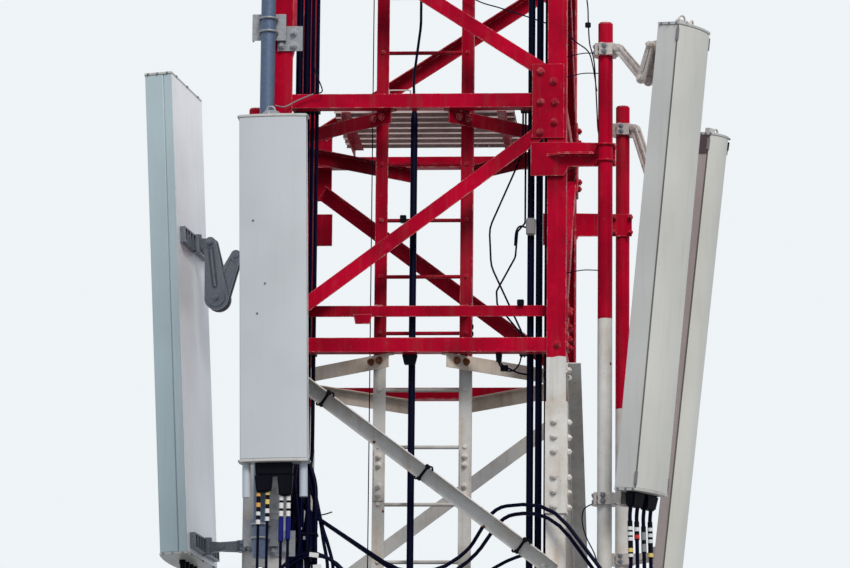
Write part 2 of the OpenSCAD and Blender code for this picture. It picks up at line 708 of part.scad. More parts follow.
// Connectors under the panels: each is a nut, a collar and a boot that narrows to its cable
conn_h = 70;
function conn_z(p) = -cap_t - 2 * gap - conn_h;
left_conns = [for (n = [-1.5 : 1 : 1.5]) [n * 90, 80]];
front_conns = [[81, 47], [35, 47], [-36, 47], [-72, 47]];
right_conns = [for (n = [1.5 : -1 : -1.5]) [n * 60, 75]];
rear_conns = [for (n = [-1.5 : 1 : 1.5]) [n * 38, 50]];
module connector(r)
    rotate_extrude($fn = 24)
        polygon([[0, 0], [r * 0.75, 0], [r, conn_h * 0.35], [r, conn_h * 0.7],
                 [r * 1.2, conn_h * 0.7], [r * 1.2, conn_h], [0, conn_h]]);
module connectors(p, spots)
    in_panel(p) for (c = spots) translate([c.x, c.y, conn_z(p)]) connector(15);
module panel_connectors() color(black) {
    connectors(left_panel, left_conns);
    connectors(front_panel, front_conns);
    connectors(right_panel, right_conns);
    connectors(rear_panel, rear_conns);
}

// Cables
// A bent rod: straight runs between the points, with a round bend at each one between the ends.
// Each inner point holds its bend's radius as a fourth number.
function xyz(p) = [p[0], p[1], p[2]];
function unit(v) = v / norm(v);
function flat(lists) = [for (l = lists) each l];
lead_sides = 8;
bend_step = 18;
// the points along one bend
function bend_points(a, b, c) =
    let (u = unit(xyz(b) - xyz(a)), v = unit(xyz(c) - xyz(b)),
         bend = acos(max(-1, min(1, u * v))))
    bend < 0.1 ? [] :
    let (inward = unit(v - (v * u) * u), start = xyz(b) - u * b[3] * tan(bend / 2),
         n = ceil(bend / bend_step))
    [for (i = [0 : n]) start + b[3] * sin(bend * i / n) * u + b[3] * (1 - cos(bend * i / n)) * inward];
function route(pts) =
    concat([xyz(pts[0])], flat([for (i = [1 : len(pts) - 2]) bend_points(pts[i - 1], pts[i], pts[i + 1])]),
           [xyz(pts[len(pts) - 1])]);
function heading(p, i) =
    let (last = len(p) - 1)
    i == 0 ? unit(p[1] - p[0]) : i == last ? unit(p[last] - p[last - 1])
    : unit(unit(p[i] - p[i - 1]) + unit(p[i + 1] - p[i]));
// one direction across the route at each of its points, carried along without a twist
function carried(t, i, n) =
    i == len(t) ? [] :
    let (m = unit(n - (n * t[i]) * t[i])) concat([m], carried(t, i + 1, m));
module bent_rod(pts, d) {
    p = route(pts);
    t = [for (i = [0 : len(p) - 1]) heading(p, i)];
    m = carried(t, 0, abs(t[0].z) > 0.9 ? [1, 0, 0] : [0, 0, 1]);
    rings = len(p);
    step = 360 / lead_sides;
    corners = [for (i = [0 : rings - 1], k = [0 : lead_sides - 1])
        p[i] + d / 2 * (cos(step * k) * m[i] + sin(step * k) * cross(t[i], m[i]))];
    walls = [for (i = [0 : rings - 2], k = [0 : lead_sides - 1])
        let (a = i * lead_sides + k, b = i * lead_sides + (k + 1) % lead_sides)
        each [[a, a + lead_sides, b], [b, a + lead_sides, b + lead_sides]]];
    ends = [[for (k = [0 : lead_sides - 1]) k],
            [for (k = [lead_sides - 1 : -1 : 0]) (rings - 1) * lead_sides + k]];
    polyhedron(corners, concat(walls, ends));
}
// the first two points of a lead: at its connector's boot, and a little further down its axis
function lead_start(p, c) = [panel_point(p, [c.x, c.y, conn_z(p)]),
                             concat(panel_point(p, [c.x, c.y, conn_z(p) - 50]), [120])];

feeder_y = -half + leg_t + brace_w + 80;
feeder_z0 = 120;
run_top = tower_h - 100;
module riser(x, d, z1) translate([x, feeder_y, feeder_z0]) cylinder(d = d, h = z1 - feeder_z0, $fn = 16);

// place and diameter of each riser in the two side runs
right_risers = [[half - 190, feeder_d], [half - 146, feeder_d], [half - 112, lead_d], [half - 92, lead_d]];
left_risers = [[-half + 120, feeder_d], [-half + 160, feeder_d]];
centre_x = -38;
centre_top = ring_z(5) - 60;
cone_h = 60;
module centre_feeder() color(black) {
    riser(centre_x, feeder_d, centre_top);
    translate([centre_x, feeder_y, centre_top]) cylinder(d1 = feeder_d, d2 = lead_d + 4, h = cone_h);
}
module left_feeders() color(black) for (c = left_risers) riser(c[0], c[1], run_top);
module right_feeders() color(black) for (c = right_risers) riser(c[0], c[1], run_top);

// Thin cables: one that goes on from the top of the centre feeder, and two loops that leave
// the right run below the fifth ring and join it again above the fourth
loop_d = 10;
loop_x = [half - 234, half - 220];
loop_y = [feeder_y - 60, feeder_y - 42];
loop_top = ring_z(5) + 40;
loop_end = ring_z(4) - 40;
function loop_z(share) = loop_end + share * (loop_top - loop_end);
module thin_leads() color(black) {
    bent_rod([[centre_x, feeder_y, centre_top + cone_h + gap],
              [centre_x - 6, feeder_y, centre_top + 210, 300],
              [centre_x + 30, feeder_y, centre_top + 500, 300], [centre_x + 30, feeder_y, run_top]], lead_d);
    bent_rod([[loop_x[0], feeder_y, loop_top], [loop_x[0], feeder_y, loop_z(0.803), 60],
              [500, loop_y[0], loop_z(0.723), 60], [362, loop_y[0], loop_z(0.489), 150],
              [372, loop_y[0], loop_z(0.343), 150], [loop_x[0], feeder_y, loop_z(0.095), 60],
              [loop_x[0], feeder_y, loop_end]], loop_d);
    bent_rod([[loop_x[1], feeder_y, loop_top], [loop_x[1], feeder_y, loop_z(0.518), 25],
              [507, loop_y[1], loop_z(0.478), 20], [497, loop_y[1], loop_z(0.38), 60],
              [400, loop_y[1], loop_z(0.248), 25], [404, loop_y[1], loop_z(0.197), 25],
              [loop_x[1], feeder_y, loop_z(0.073), 30], [loop_x[1], feeder_y, loop_end]], loop_d);
}

// Jumper cables, from the panels' connectors to the runs in the mast
run_z = ring_z(3) - 300;
cross_top = ring_z(4) - 830;
// two of the right panel's leads cross the front of the mast to the left run, and the other two
// turn in behind the front right leg
module crossing_lead(n, dx, dz, y)
    bent_rod(concat(lead_start(right_panel, right_conns[n]), [
        [panel_point(right_panel, [right_conns[n].x, 75, 0]).x,
         panel_point(right_panel, [right_conns[n].x, 75, 0]).y, ring_z(3) - 120 + dz * 2.4, 80],
        [690, -826, cross_top + dz, 340],
        [399 + dx, y + 10, cross_top + dz, 120],
        [275 + dx, y + 10, cross_top - 210 + dz / 3, 200],
        [34 + dx, y, cross_top - 420 + dz, 320],
        [cross_x[n] - 30, y - 34, cross_top + dz / 3, 110],
        [cross_x[n], feeder_y, cross_top + 290, 120],
        [cross_x[n], feeder_y, run_top]]), jumper_d);
cross_x = [-half + 192, -half + 216];
module crossing_leads() color(black) {
    crossing_lead(0, 0, 0, -666);
    crossing_lead(1, 43, -42, -642);
}
side_run = -feeder_y;
right_y = [-side_run + 60, -side_run + 85];
module right_leads() color(black)
    for (n = [0, 1]) {
        from = panel_point(right_panel, [right_conns[n + 2].x, 75, 0]);
        bent_rod(concat(lead_start(right_panel, right_conns[n + 2]), [
            [from.x, from.y, ring_z(3) - 130 - 40 * n, 100],
            [850, right_y[n] + 20, run_z + 30 - 30 * n, 100],
            [side_run, right_y[n], run_z - 10 - 30 * n, 80],
            [side_run, right_y[n], feeder_z0]]), jumper_d);
    }
front_x = [for (n = [0 : 3]) -half + 192 + 18 * n];
front_lead_d = 15;
module front_leads() color(black)
    for (n = [0 : 3]) {
        from = panel_point(front_panel, [front_conns[n].x, 47, 0]);
        bent_rod(concat(lead_start(front_panel, front_conns[n]), [
            [from.x, from.y, ring_z(3) - 60 - 26 * n, 90],
            [-645, -770, ring_z(3) - 130 - 28 * n, 70],
            [front_x[n], feeder_y, run_z - 10 - 28 * n, 30],
            [front_x[n], feeder_y, feeder_z0]]), front_lead_d);
    }
module left_leads() color(black)
    for (n = [0 : 3]) {
        from = panel_point(left_panel, [left_conns[n].x, 80, 0]);
        run_y = side_run - 40 + 30 * n;
        bent_rod(concat(lead_start(left_panel, left_conns[n]), [
            [from.x, from.y, ring_z(3) - 20 - 26 * n, 100],
            [-870, run_y - 40, run_z + 110 - 26 * n, 100],
            [-side_run, run_y, run_z + 40 - 26 * n, 80],
            [-side_run, run_y, feeder_z0]]), jumper_d);
    }
module rear_leads() color(black)
    for (n = [0, 1]) {
        from = panel_point(rear_panel, [rear_conns[3 - 3 * n].x, 50, 0]);
        run_y = side_run - 40 + 30 * n;
        bent_rod(concat(lead_start(rear_panel, rear_conns[3 - 3 * n]), [
            [from.x, from.y, ring_z(3) - 240 - 30 * n, 90],
            [880, run_y - 80, run_z - 110 - 30 * n, 100],
            [side_run, run_y, run_z - 160 - 30 * n, 80],
            [side_run, run_y, feeder_z0]]), jumper_d);
    }

// Clips: blocks on the struts' inner flanges, bored for their cables. A block reaches a margin
// beyond its first and its last cable, which are listed from left to right.
clip_h = 30;
clip_margin = 7;
clip_front = strut_y + brace_t + 30;
clip_back = feeder_y + feeder_d / 2 + 4;
module feeder_clamp(cables, z)
    difference() {
        first = cables[0];
        last = cables[len(cables) - 1];
        x0 = first[0] - first[1] / 2 - clip_margin;
        x1 = last[0] + last[1] / 2 + clip_margin;
        translate([x0, clip_front, z - brace_w / 2 + brace_t + gap])
            cube([x1 - x0, clip_back - clip_front, clip_h]);
        for (c = cables)
            translate([c[0], feeder_y, z - brace_w]) cylinder(d = c[1] + 2 * gap, h = 2 * brace_w, $fn = 16);
    }
crossing_run = [for (x = cross_x) [x, jumper_d]];
loop_run = [for (x = loop_x) [x, loop_d]];
front_run = [for (x = front_x) [x, front_lead_d]];
left_run = [for (n = [3 : -1 : 0]) [-side_run + 40 - 30 * n, jumper_d]];
right_run = [for (y = right_y) [y, jumper_d]];
rear_run = [for (n = [0, 1]) [side_run - 40 + 30 * n, jumper_d]];
module feeder_clamps() color(black)
    for (k = [1 : bay_count - 1]) {
        z = ring_z(k);
        if (z < centre_top) feeder_clamp([[centre_x, feeder_d]], z);
        feeder_clamp(z > loop_end ? concat(loop_run, right_risers) : right_risers, z);
        feeder_clamp(z < run_z - 200 ? concat(left_risers, front_run)
                     : z > cross_top + 290 ? concat(left_risers, crossing_run) : left_risers, z);
        if (z < run_z - 200) {
            on_face(3) feeder_clamp(left_run, z);
            on_face(1) feeder_clamp(rear_run, z);
            on_face(1) feeder_clamp(right_run, z);
        }
    }

base_plates();
lower_legs();
upper_legs();
leg_splices();
gusset_plates();
lower_struts();
upper_struts();
lower_diagonals();
upper_diagonals();
lower_plan_bracing();
upper_plan_bracing();
cable_bearer();
ladder_stringers();
ladder_rungs();
ladder_brackets();
platform_carriers();
platform_slats();
pole_front_left();
pole_front_right();
pole_rear_left();
pole_rear_right();
arms_front_left();
arms_front_right();
arms_rear_left();
arms_rear_right();
left_panel_radome();
left_panel_tray();
front_panel_radome();
front_panel_tray();
right_panel_radome();
right_panel_tray();
rear_panel_radome();
rear_panel_tray();
panel_end_caps();
bracket_left();
bracket_front();
bracket_right();
bracket_rear();
panel_skirts();
panel_connectors();
centre_feeder();
right_feeders();
left_feeders();
thin_leads();
crossing_leads();
right_leads();
front_leads();
left_leads();
rear_leads();
feeder_clamps();
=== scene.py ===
"""Looks of the cell tower: camera, light, finishes, bolts, cable dressing and panel details.
Everything is in metres in the tower's frame: +Z up, -Y is the side that faces the camera."""
import math

import bmesh
import bpy
import numpy as np
from mathutils import Matrix, Vector


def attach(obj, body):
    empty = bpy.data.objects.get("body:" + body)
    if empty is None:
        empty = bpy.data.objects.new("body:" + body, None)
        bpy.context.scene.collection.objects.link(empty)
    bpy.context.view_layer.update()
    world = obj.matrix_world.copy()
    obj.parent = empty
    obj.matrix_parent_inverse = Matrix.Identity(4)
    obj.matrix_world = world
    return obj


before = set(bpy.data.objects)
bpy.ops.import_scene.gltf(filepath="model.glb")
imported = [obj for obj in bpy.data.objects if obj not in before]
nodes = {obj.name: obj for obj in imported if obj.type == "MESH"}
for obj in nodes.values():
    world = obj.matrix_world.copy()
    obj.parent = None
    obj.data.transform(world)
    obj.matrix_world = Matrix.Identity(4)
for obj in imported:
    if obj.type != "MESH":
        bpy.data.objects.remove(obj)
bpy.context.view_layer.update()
scene = bpy.context.scene

# Sizes of the mast that the dressing is placed by: its half width over the legs, the thickness
# of its plates and braces, and where the diagonals end
HALF, PLATE, BRACE_T, BRACE_W = 0.765, 0.01, 0.006, 0.075
LEG_LINE, DIAGONAL_INSET = 0.715, 0.107
RINGS = [0.0, 1.29, 2.58, 3.87, 5.16, 6.45, 7.6]
SPLICE_Z = RINGS[4] - 0.59
# Middle of a foot, distance of its anchors from there, and thickness of its base plate
FOOT, ANCHOR, FOOT_PLATE = 0.7, 0.115, 0.025
# Heights where the paint changes, from red to white and back
LOW_PAINT_EDGE, HIGH_PAINT_EDGE = 2.5, 5.094
# Ladder, feeder cables and antenna poles
LADDER_X, LADDER_Y, LADDER_W = 0.012, -HALF + 0.245, 0.446
RUNG_Z0, RUNG_STEP, RUNG_COUNT = 0.465, 0.3, 24
FEEDER_Y, FEEDER_CENTRE_X, FEEDER_LOW, FEEDER_HIGH = -0.6, -0.038, 0.12, 7.5
POLES = {"front_left": (-0.787, -0.853), "front_right": (0.967, -0.823),
         "rear_left": (-1.015, 0.823), "rear_right": (1.015, 0.823)}
FRONT, BACK, UP, DOWN = (0, -1, 0), (0, 1, 0), (0, 0, 1), (0, 0, -1)


# Camera
EYE = Vector((1.6814, -25.4581, 0.6249))
VIEW_AZIMUTH, VIEW_RISE, VIEW_ROLL = (math.radians(a) for a in (3.81, 11.09, 0.55))
LENS_MM = 207.06


def make_camera():
    ahead = Vector((-math.sin(VIEW_AZIMUTH) * math.cos(VIEW_RISE),
                    math.cos(VIEW_AZIMUTH) * math.cos(VIEW_RISE), math.sin(VIEW_RISE)))
    level = Vector((math.cos(VIEW_AZIMUTH), math.sin(VIEW_AZIMUTH), 0))
    over = level.cross(ahead)
    right = math.cos(VIEW_ROLL) * level + math.sin(VIEW_ROLL) * over
    up = -math.sin(VIEW_ROLL) * level + math.cos(VIEW_ROLL) * over
    data = bpy.data.cameras.new("camera")
    data.lens = LENS_MM
    data.sensor_width = 36
    data.clip_end = 200
    camera = bpy.data.objects.new("camera", data)
    turn = Matrix((right, up, -ahead)).transposed()
    camera.matrix_world = Matrix.Translation(EYE) @ turn.to_4x4()
    scene.collection.objects.link(camera)
    scene.camera = camera


# Helpers for node trees
def put(tree, sockets, values):
    """Sets sockets by name or number. A value that is another socket is linked."""
    for key, value in values.items():
        if isinstance(value, bpy.types.NodeSocket):
            tree.links.new(value, sockets[key])
        elif sockets[key].type == "RGBA":
            sockets[key].default_value = (*value, 1)
        else:
            sockets[key].default_value = value


def add(tree, kind, inputs=None, **settings):
    """A new node. Its settings come first, because some of them change its sockets."""
    made = tree.nodes.new(kind)
    for name, value in settings.items():
        setattr(made, name, value)
    put(tree, made.inputs, inputs or {})
    return made


def use(tree, group, inputs):
    """Places a node group, and returns its outputs."""
    return add(tree, "ShaderNodeGroup", inputs, node_tree=group).outputs


def maths(tree, operation, a, b=0.0, clamp=False):
    return add(tree, "ShaderNodeMath", {0: a, 1: b}, operation=operation, use_clamp=clamp).outputs[0]


def times(tree, a, b):
    return maths(tree, "MULTIPLY", a, b)


def spread(tree, value, low, high, to_low=0.0, to_high=1.0):
    """Maps low..high to to_low..to_high, and holds the ends."""
    return add(tree, "ShaderNodeMapRange", {"Value": value, "From Min": low, "From Max": high,
                                            "To Min": to_low, "To Max": to_high}).outputs["Result"]


def mix_colour(tree, share, a, b):
    return add(tree, "ShaderNodeMix", {0: share, 6: a, 7: b}, data_type="RGBA").outputs[2]


def axis_of(tree, vector, axis):
    return add(tree, "ShaderNodeSeparateXYZ", {0: vector}).outputs[axis]


def noise(tree, place, scale, detail=4.0, rough=0.5, stretch=None):
    if stretch:
        place = add(tree, "ShaderNodeMapping", {"Vector": place, "Scale": stretch}).outputs[0]
    return add(tree, "ShaderNodeTexNoise", {"Vector": place, "Scale": scale, "Detail": detail,
                                            "Roughness": rough}).outputs[0]


FLOAT, COLOUR, VECTOR = "NodeSocketFloat", "NodeSocketColor", "NodeSocketVector"
SHAPE, FINISH, COUNT = "NodeSocketGeometry", "NodeSocketMaterial", "NodeSocketInt"
START_KINDS = {float: FLOAT, int: COUNT, tuple: COLOUR}
RESULT_KINDS = {"VALUE": FLOAT, "RGBA": COLOUR, "GEOMETRY": SHAPE}


def new_group(name, takes, kind="ShaderNodeTree"):
    """A node group. Each named input has a value to start from, or else its kind of socket."""
    tree = bpy.data.node_groups.new(name, kind)
    for label, start in takes.items():
        socket_kind = start if isinstance(start, str) else START_KINDS[type(start)]
        socket = tree.interface.new_socket(label, in_out="INPUT", socket_type=socket_kind)
        if socket_kind != start:
            socket.default_value = (*start, 1) if socket_kind == COLOUR else start
    return tree, tree.nodes.new("NodeGroupInput").outputs


def close_group(tree, results):
    """Gives a node group its named outputs, each one linked to its result."""
    for label, result in results.items():
        tree.interface.new_socket(label, in_out="OUTPUT", socket_type=RESULT_KINDS[result.type])
    put(tree, tree.nodes.new("NodeGroupOutput").inputs, results)
    return tree


# Effects that the finishes share
def make_weather_group():
    """Dirt for any finish: slow tone changes, rain streaks and small specks."""
    tree, takes = new_group("weather", {"Place": VECTOR, "Colour": (0.5, 0.5, 0.5),
                                        "Dirt": (0.2, 0.15, 0.1), "Tone": 0.15, "Streaks": 0.2,
                                        "Specks": 0.3})
    place = takes["Place"]
    slow = noise(tree, place, 1.7, 3)
    tone = times(tree, spread(tree, slow, 0.35, 0.65, -1, 1), takes["Tone"])
    toned = add(tree, "ShaderNodeVectorMath",
                {0: takes["Colour"], "Scale": maths(tree, "ADD", tone, 1.0)}, operation="SCALE")
    fall = noise(tree, place, 1.0, 5, 0.6, (26, 26, 1.3))
    streak = times(tree, spread(tree, fall, 0.52, 0.72), takes["Streaks"])
    fine = noise(tree, place, 42, 3, 0.6)
    speck = times(tree, spread(tree, fine, 0.66, 0.74), takes["Specks"])
    dirt = maths(tree, "ADD", streak, speck, clamp=True)
    colour = mix_colour(tree, dirt, toned.outputs[0], takes["Dirt"])
    return close_group(tree, {"Colour": colour, "Height": fine, "Dirt mask": dirt})


def make_rust_group():
    """Rust that breaks through in scattered spots, with a stain below each one."""
    tree, takes = new_group("rust_spots", {"Place": VECTOR, "Amount": 0.5})
    place, amount = takes["Place"], takes["Amount"]
    warp = noise(tree, place, 30, 3, 0.6)
    cells = add(tree, "ShaderNodeTexVoronoi", {"Vector": place, "Scale": 9}).outputs
    ragged = maths(tree, "ADD", cells["Distance"], times(tree, warp, 0.2))
    pick = add(tree, "ShaderNodeSeparateColor", {0: cells["Color"]}).outputs[0]
    chosen = maths(tree, "LESS_THAN", pick, amount)
    spot = times(tree, spread(tree, ragged, 0.19, 0.16), chosen)
    long_place = add(tree, "ShaderNodeMapping", {"Vector": place, "Scale": (1, 1, 0.16)}).outputs[0]
    runs = add(tree, "ShaderNodeTexVoronoi", {"Vector": long_place, "Scale": 12}).outputs["Distance"]
    run = spread(tree, maths(tree, "ADD", runs, times(tree, warp, 0.35)), 0.42, 0.25)
    return close_group(tree, {"Spots": spot, "Stain": times(tree, run, amount)})


def make_edge_group():
    """Marks the edges of a piece, and the patches of them where the coat has come off."""
    tree, takes = new_group("edge_wear", {"Place": VECTOR, "Radius": 0.006, "Bare": 0.5})
    rounded = add(tree, "ShaderNodeBevel", {"Radius": takes["Radius"]}, samples=4).outputs[0]
    flat = add(tree, "ShaderNodeNewGeometry").outputs["Normal"]
    turn = add(tree, "ShaderNodeVectorMath", {0: rounded, 1: flat}, operation="DOT_PRODUCT")
    edge = spread(tree, turn.outputs["Value"], 0.995, 0.8)
    patchy = noise(tree, takes["Place"], 19, 6, 0.7)
    limit = spread(tree, takes["Bare"], 0, 1, 0.85, 0.35)
    bare = times(tree, edge, maths(tree, "GREATER_THAN", patchy, limit))
    return close_group(tree, {"Edge": edge, "Bare": bare})


WEATHER = make_weather_group()
RUST_SPOTS = make_rust_group()
EDGE_WEAR = make_edge_group()

RED, DULL_RED, CHALKY_RED = (0.405, 0.0004, 0.02), (0.235, 0.0005, 0.012), (0.46, 0.016, 0.045)
CREAM, OLD_CREAM = (0.64, 0.56, 0.48), (0.4, 0.3, 0.21)
WHITE, OLD_WHITE = (0.6, 0.595, 0.575), (0.46, 0.4, 0.33)
# The light pink for the paint's edges stands partly for rubbed paint and partly for painted highlight where
# edges catch the light
PRIMER, EDGE_WEAR_AND_SHEEN = (0.62, 0.47, 0.42), (0.72, 0.42, 0.42)
RUST, RUST_STAIN = (0.15, 0.05, 0.018), (0.38, 0.22, 0.11)


def make_paint_group():
    """Two-coloured tower paint: red where the mask is 1 and white where it is 0."""
    tree, takes = new_group("tower_paint", {"Place": VECTOR, "Red": 1.0, "Rust": 0.3, "Wear and sheen": 1.0,
                                            "White": WHITE, "Old white": OLD_WHITE,
                                            "Fresh red": RED, "Dull red": DULL_RED})
    place, is_red, wear_and_sheen = takes["Place"], takes["Red"], takes["Wear and sheen"]
    dull = spread(tree, noise(tree, place, 2.6, 5, 0.6), 0.42, 0.62, 0.0, 0.85)
    chalk = spread(tree, noise(tree, place, 11, 7, 0.7), 0.58, 0.78, 0.0, 0.5)
    grime = spread(tree, noise(tree, place, 5, 6, 0.7), 0.45, 0.75, 0.0, 0.8)
    red = mix_colour(tree, chalk, mix_colour(tree, dull, takes["Fresh red"], takes["Dull red"]),
                     CHALKY_RED)
    white = mix_colour(tree, grime, takes["White"], takes["Old white"])
    aged = use(tree, WEATHER, {"Place": place, "Colour": mix_colour(tree, is_red, white, red),
                               "Dirt": (0.1, 0.06, 0.05), "Tone": 0.1, "Streaks": 0.22,
                               "Specks": 0.35})
    # a light pink line along every edge is partly rubbed paint and partly painted highlight; chips show
    # primer on the red and rust on the white
    edge_masks = use(tree, EDGE_WEAR, {"Place": place, "Bare": 0.62})
    edge_wear_and_sheen_share = times(tree, times(tree, edge_masks["Edge"], wear_and_sheen), 0.22)
    with_edge_wear_and_sheen = mix_colour(tree, edge_wear_and_sheen_share, aged["Colour"], EDGE_WEAR_AND_SHEEN)
    bare = times(tree, edge_masks["Bare"], wear_and_sheen)
    chipped = mix_colour(tree, times(tree, bare, is_red), with_edge_wear_and_sheen, PRIMER)
    spots = use(tree, RUST_SPOTS, {"Place": place, "Amount": takes["Rust"]})
    bare_white = maths(tree, "SUBTRACT", 1.0, times(tree, is_red, 0.85))
    white_edge = times(tree, bare, maths(tree, "SUBTRACT", 1.0, is_red))
    rust_mask = maths(tree, "ADD", times(tree, white_edge, 0.55),
                      times(tree, spots["Spots"], bare_white), clamp=True)
    stained = mix_colour(tree, times(tree, spots["Stain"], bare_white), chipped, RUST_STAIN)
    rough = maths(tree, "ADD", spread(tree, grime, 0, 0.75, 0.38, 0.6), times(tree, rust_mask, 0.3))
    height = maths(tree, "SUBTRACT", times(tree, aged["Height"], 0.4), rust_mask)
    return close_group(tree, {"Colour": mix_colour(tree, rust_mask, stained, RUST),
                              "Roughness": rough, "Height": height})


PAINT = make_paint_group()


# Finishes
LOOKS = {}


def start_material(name, specular=0.5):
    """A new finish: its tree, its shader's inputs and the place that its patterns read."""
    material = bpy.data.materials.new(name)
    material.use_nodes = True
    LOOKS[name] = material
    tree = material.node_tree
    shader = tree.nodes["Principled BSDF"].inputs
    shader["Specular IOR Level"].default_value = specular
    return tree, shader, add(tree, "ShaderNodeTexCoord").outputs["Object"]


def coat(tree, shader, colour, rough, height, strength, distance, metallic=0.0):
    """Links a finish's colour, roughness and relief to its shader."""
    relief = add(tree, "ShaderNodeBump", {"Strength": strength, "Distance": distance,
                                          "Height": height}).outputs[0]
    put(tree, shader, {"Base Color": colour, "Roughness": rough, "Normal": relief,
                       "Metallic": metallic})


def paint(name, edges, rust_amount, wear_and_sheen=1.0, whites=(WHITE, OLD_WHITE), shade=1.0):
    """Tower paint: red up to the first edge's height, white up to the second one, and red above,
    or red all over where there are no edges. A shade below 1 darkens every tone as painted shade."""
    tree, shader, place = start_material(name, 0.04)
    red = 1.0
    if edges:
        wobble = spread(tree, noise(tree, place, 8, 3), 0.3, 0.7, -0.006, 0.006)
        level = maths(tree, "ADD", axis_of(tree, place, "Z"), wobble)
        above_low, above_high = (maths(tree, "GREATER_THAN", level, edge) for edge in edges)
        below_low = maths(tree, "SUBTRACT", 1.0, above_low)
        red = maths(tree, "ADD", below_low, above_high, clamp=True)
    tones = {"White": whites[0], "Old white": whites[1], "Fresh red": RED, "Dull red": DULL_RED}
    painted_shade_tones = {label: [c * shade for c in tone] for label, tone in tones.items()}
    layer = use(tree, PAINT, {"Place": place, "Red": red, "Rust": rust_amount, "Wear and sheen": wear_and_sheen, **painted_shade_tones})
    coat(tree, shader, layer["Colour"], layer["Roughness"], layer["Height"], 0.35, 0.0015)


def plain(name, colour, dirt, roughness, streaks=0.15, specks=0.1, tone=0.06, specular=0.4,
          facing_y=None):
    """A finish of one colour with the shared weathering on it. Faces that look to the front or
    the back can have a colour of their own, facing_y."""
    tree, shader, place = start_material(name, specular)
    if facing_y:
        normal = add(tree, "ShaderNodeNewGeometry").outputs["Normal"]
        along_y = maths(tree, "ABSOLUTE", axis_of(tree, normal, "Y"))
        colour = mix_colour(tree, spread(tree, along_y, 0.55, 0.8), colour, facing_y)
    aged = use(tree, WEATHER, {"Place": place, "Colour": colour, "Dirt": dirt, "Tone": tone,
                               "Streaks": streaks, "Specks": specks})
    rough = spread(tree, aged["Dirt mask"], 0, 0.5, roughness, min(roughness + 0.2, 1))
    coat(tree, shader, aged["Colour"], rough, aged["Height"], 0.25, 0.0006)


def slatted():
    """Worn brown slats with a painted highlight: their upright faces are painted paler than their
    undersides, as if sunlit.
    """
    tree, shader, place = start_material("slats", 0.3)
    normal = add(tree, "ShaderNodeNewGeometry").outputs["Normal"]
    side = spread(tree, maths(tree, "ABSOLUTE", axis_of(tree, normal, "Z")), 0.5, 0.2)
    grain = noise(tree, place, 1, 6, 0.65, (4, 60, 60))
    wood = mix_colour(tree, spread(tree, grain, 0.35, 0.65), (0.15, 0.075, 0.085), (0.29, 0.165, 0.175))
    # painted highlight: upright faces mixed towards a light colour, as sunlit faces
    painted_sunlit_faces = mix_colour(tree, side, wood, (0.6, 0.5, 0.48))
    aged = use(tree, WEATHER, {"Place": place, "Colour": painted_sunlit_faces, "Streaks": 0.3})
    coat(tree, shader, aged["Colour"], spread(tree, grain, 0.3, 0.7, 0.6, 0.8), grain, 0.4, 0.001)


def galvanised(name, tint, rust_share, metallic=0.4):
    """Dull hot-dip galvanising: crystals of slightly different greys, with a little rust, and a painted
    highlight that lightens the edges.
    """
    tree, shader, place = start_material(name)
    cells = add(tree, "ShaderNodeTexVoronoi", {"Vector": place, "Scale": 130})
    grain = add(tree, "ShaderNodeSeparateColor", {0: cells.outputs["Color"]}).outputs[0]
    dark, light = ([c * k for c in tint] for k in (0.86, 1.12))
    rusty = spread(tree, noise(tree, place, 13, 5, 0.6), 0.62 - rust_share * 0.2, 0.72, 0, rust_share)
    edge_masks = use(tree, EDGE_WEAR, {"Place": place, "Radius": 0.005})
    # painted highlight: edges mixed towards a lighter copy of the tint
    edge_highlighted_grain = mix_colour(tree, times(tree, edge_masks["Edge"], 0.5), mix_colour(tree, grain, dark, light),
                       [min(c * 1.9, 0.9) for c in tint])
    aged = use(tree, WEATHER, {"Place": place, "Colour": mix_colour(tree, rusty, edge_highlighted_grain, RUST),
                               "Dirt": (0.05, 0.045, 0.04), "Streaks": 0.3, "Specks": 0.3})
    rough = spread(tree, grain, 0, 1, 0.4, 0.52)
    coat(tree, shader, aged["Colour"], rough, aged["Height"], 0.3, 0.0008, metallic)


PAINT_EDGES = (LOW_PAINT_EDGE, HIGH_PAINT_EDGE)
paint("mast_paint", PAINT_EDGES, 0.3)
paint("strut_paint", (LOW_PAINT_EDGE, 5.1295), 0.3)
paint("bolt_paint", PAINT_EDGES, 0.45, wear_and_sheen=0.25)
# A shade below 1 is painted shade: the plan braces, the ladder, the cable bearer and the upper plan braces
# get darker copies of the paint, as for parts in shadow inside the mast
paint("plan_paint", (LOW_PAINT_EDGE, RINGS[4] + 0.14), 0.5, whites=(CREAM, OLD_CREAM), shade=0.88)
paint("red_paint", (), 0.15)
paint("inner_paint", PAINT_EDGES, 0.35, shade=0.82)
paint("shaded_paint", (), 0.15, shade=0.55)
paint("front_pole_paint", (2.4, 5.278), 0.12)
paint("rear_pole_paint", (2.4, 5.091), 0.12)
# The front left pole's zinc is grey with a blue tint that is painted reflection of the sky
galvanised("pole_zinc", (0.07, 0.105, 0.175), 0.04, 0.3)
galvanised("zinc", (0.24, 0.25, 0.27), 0.14)
galvanised("cast_zinc", (0.165, 0.185, 0.22), 0.12)
galvanised("old_zinc", (0.48, 0.435, 0.41), 0.42, 0.2)
slatted()

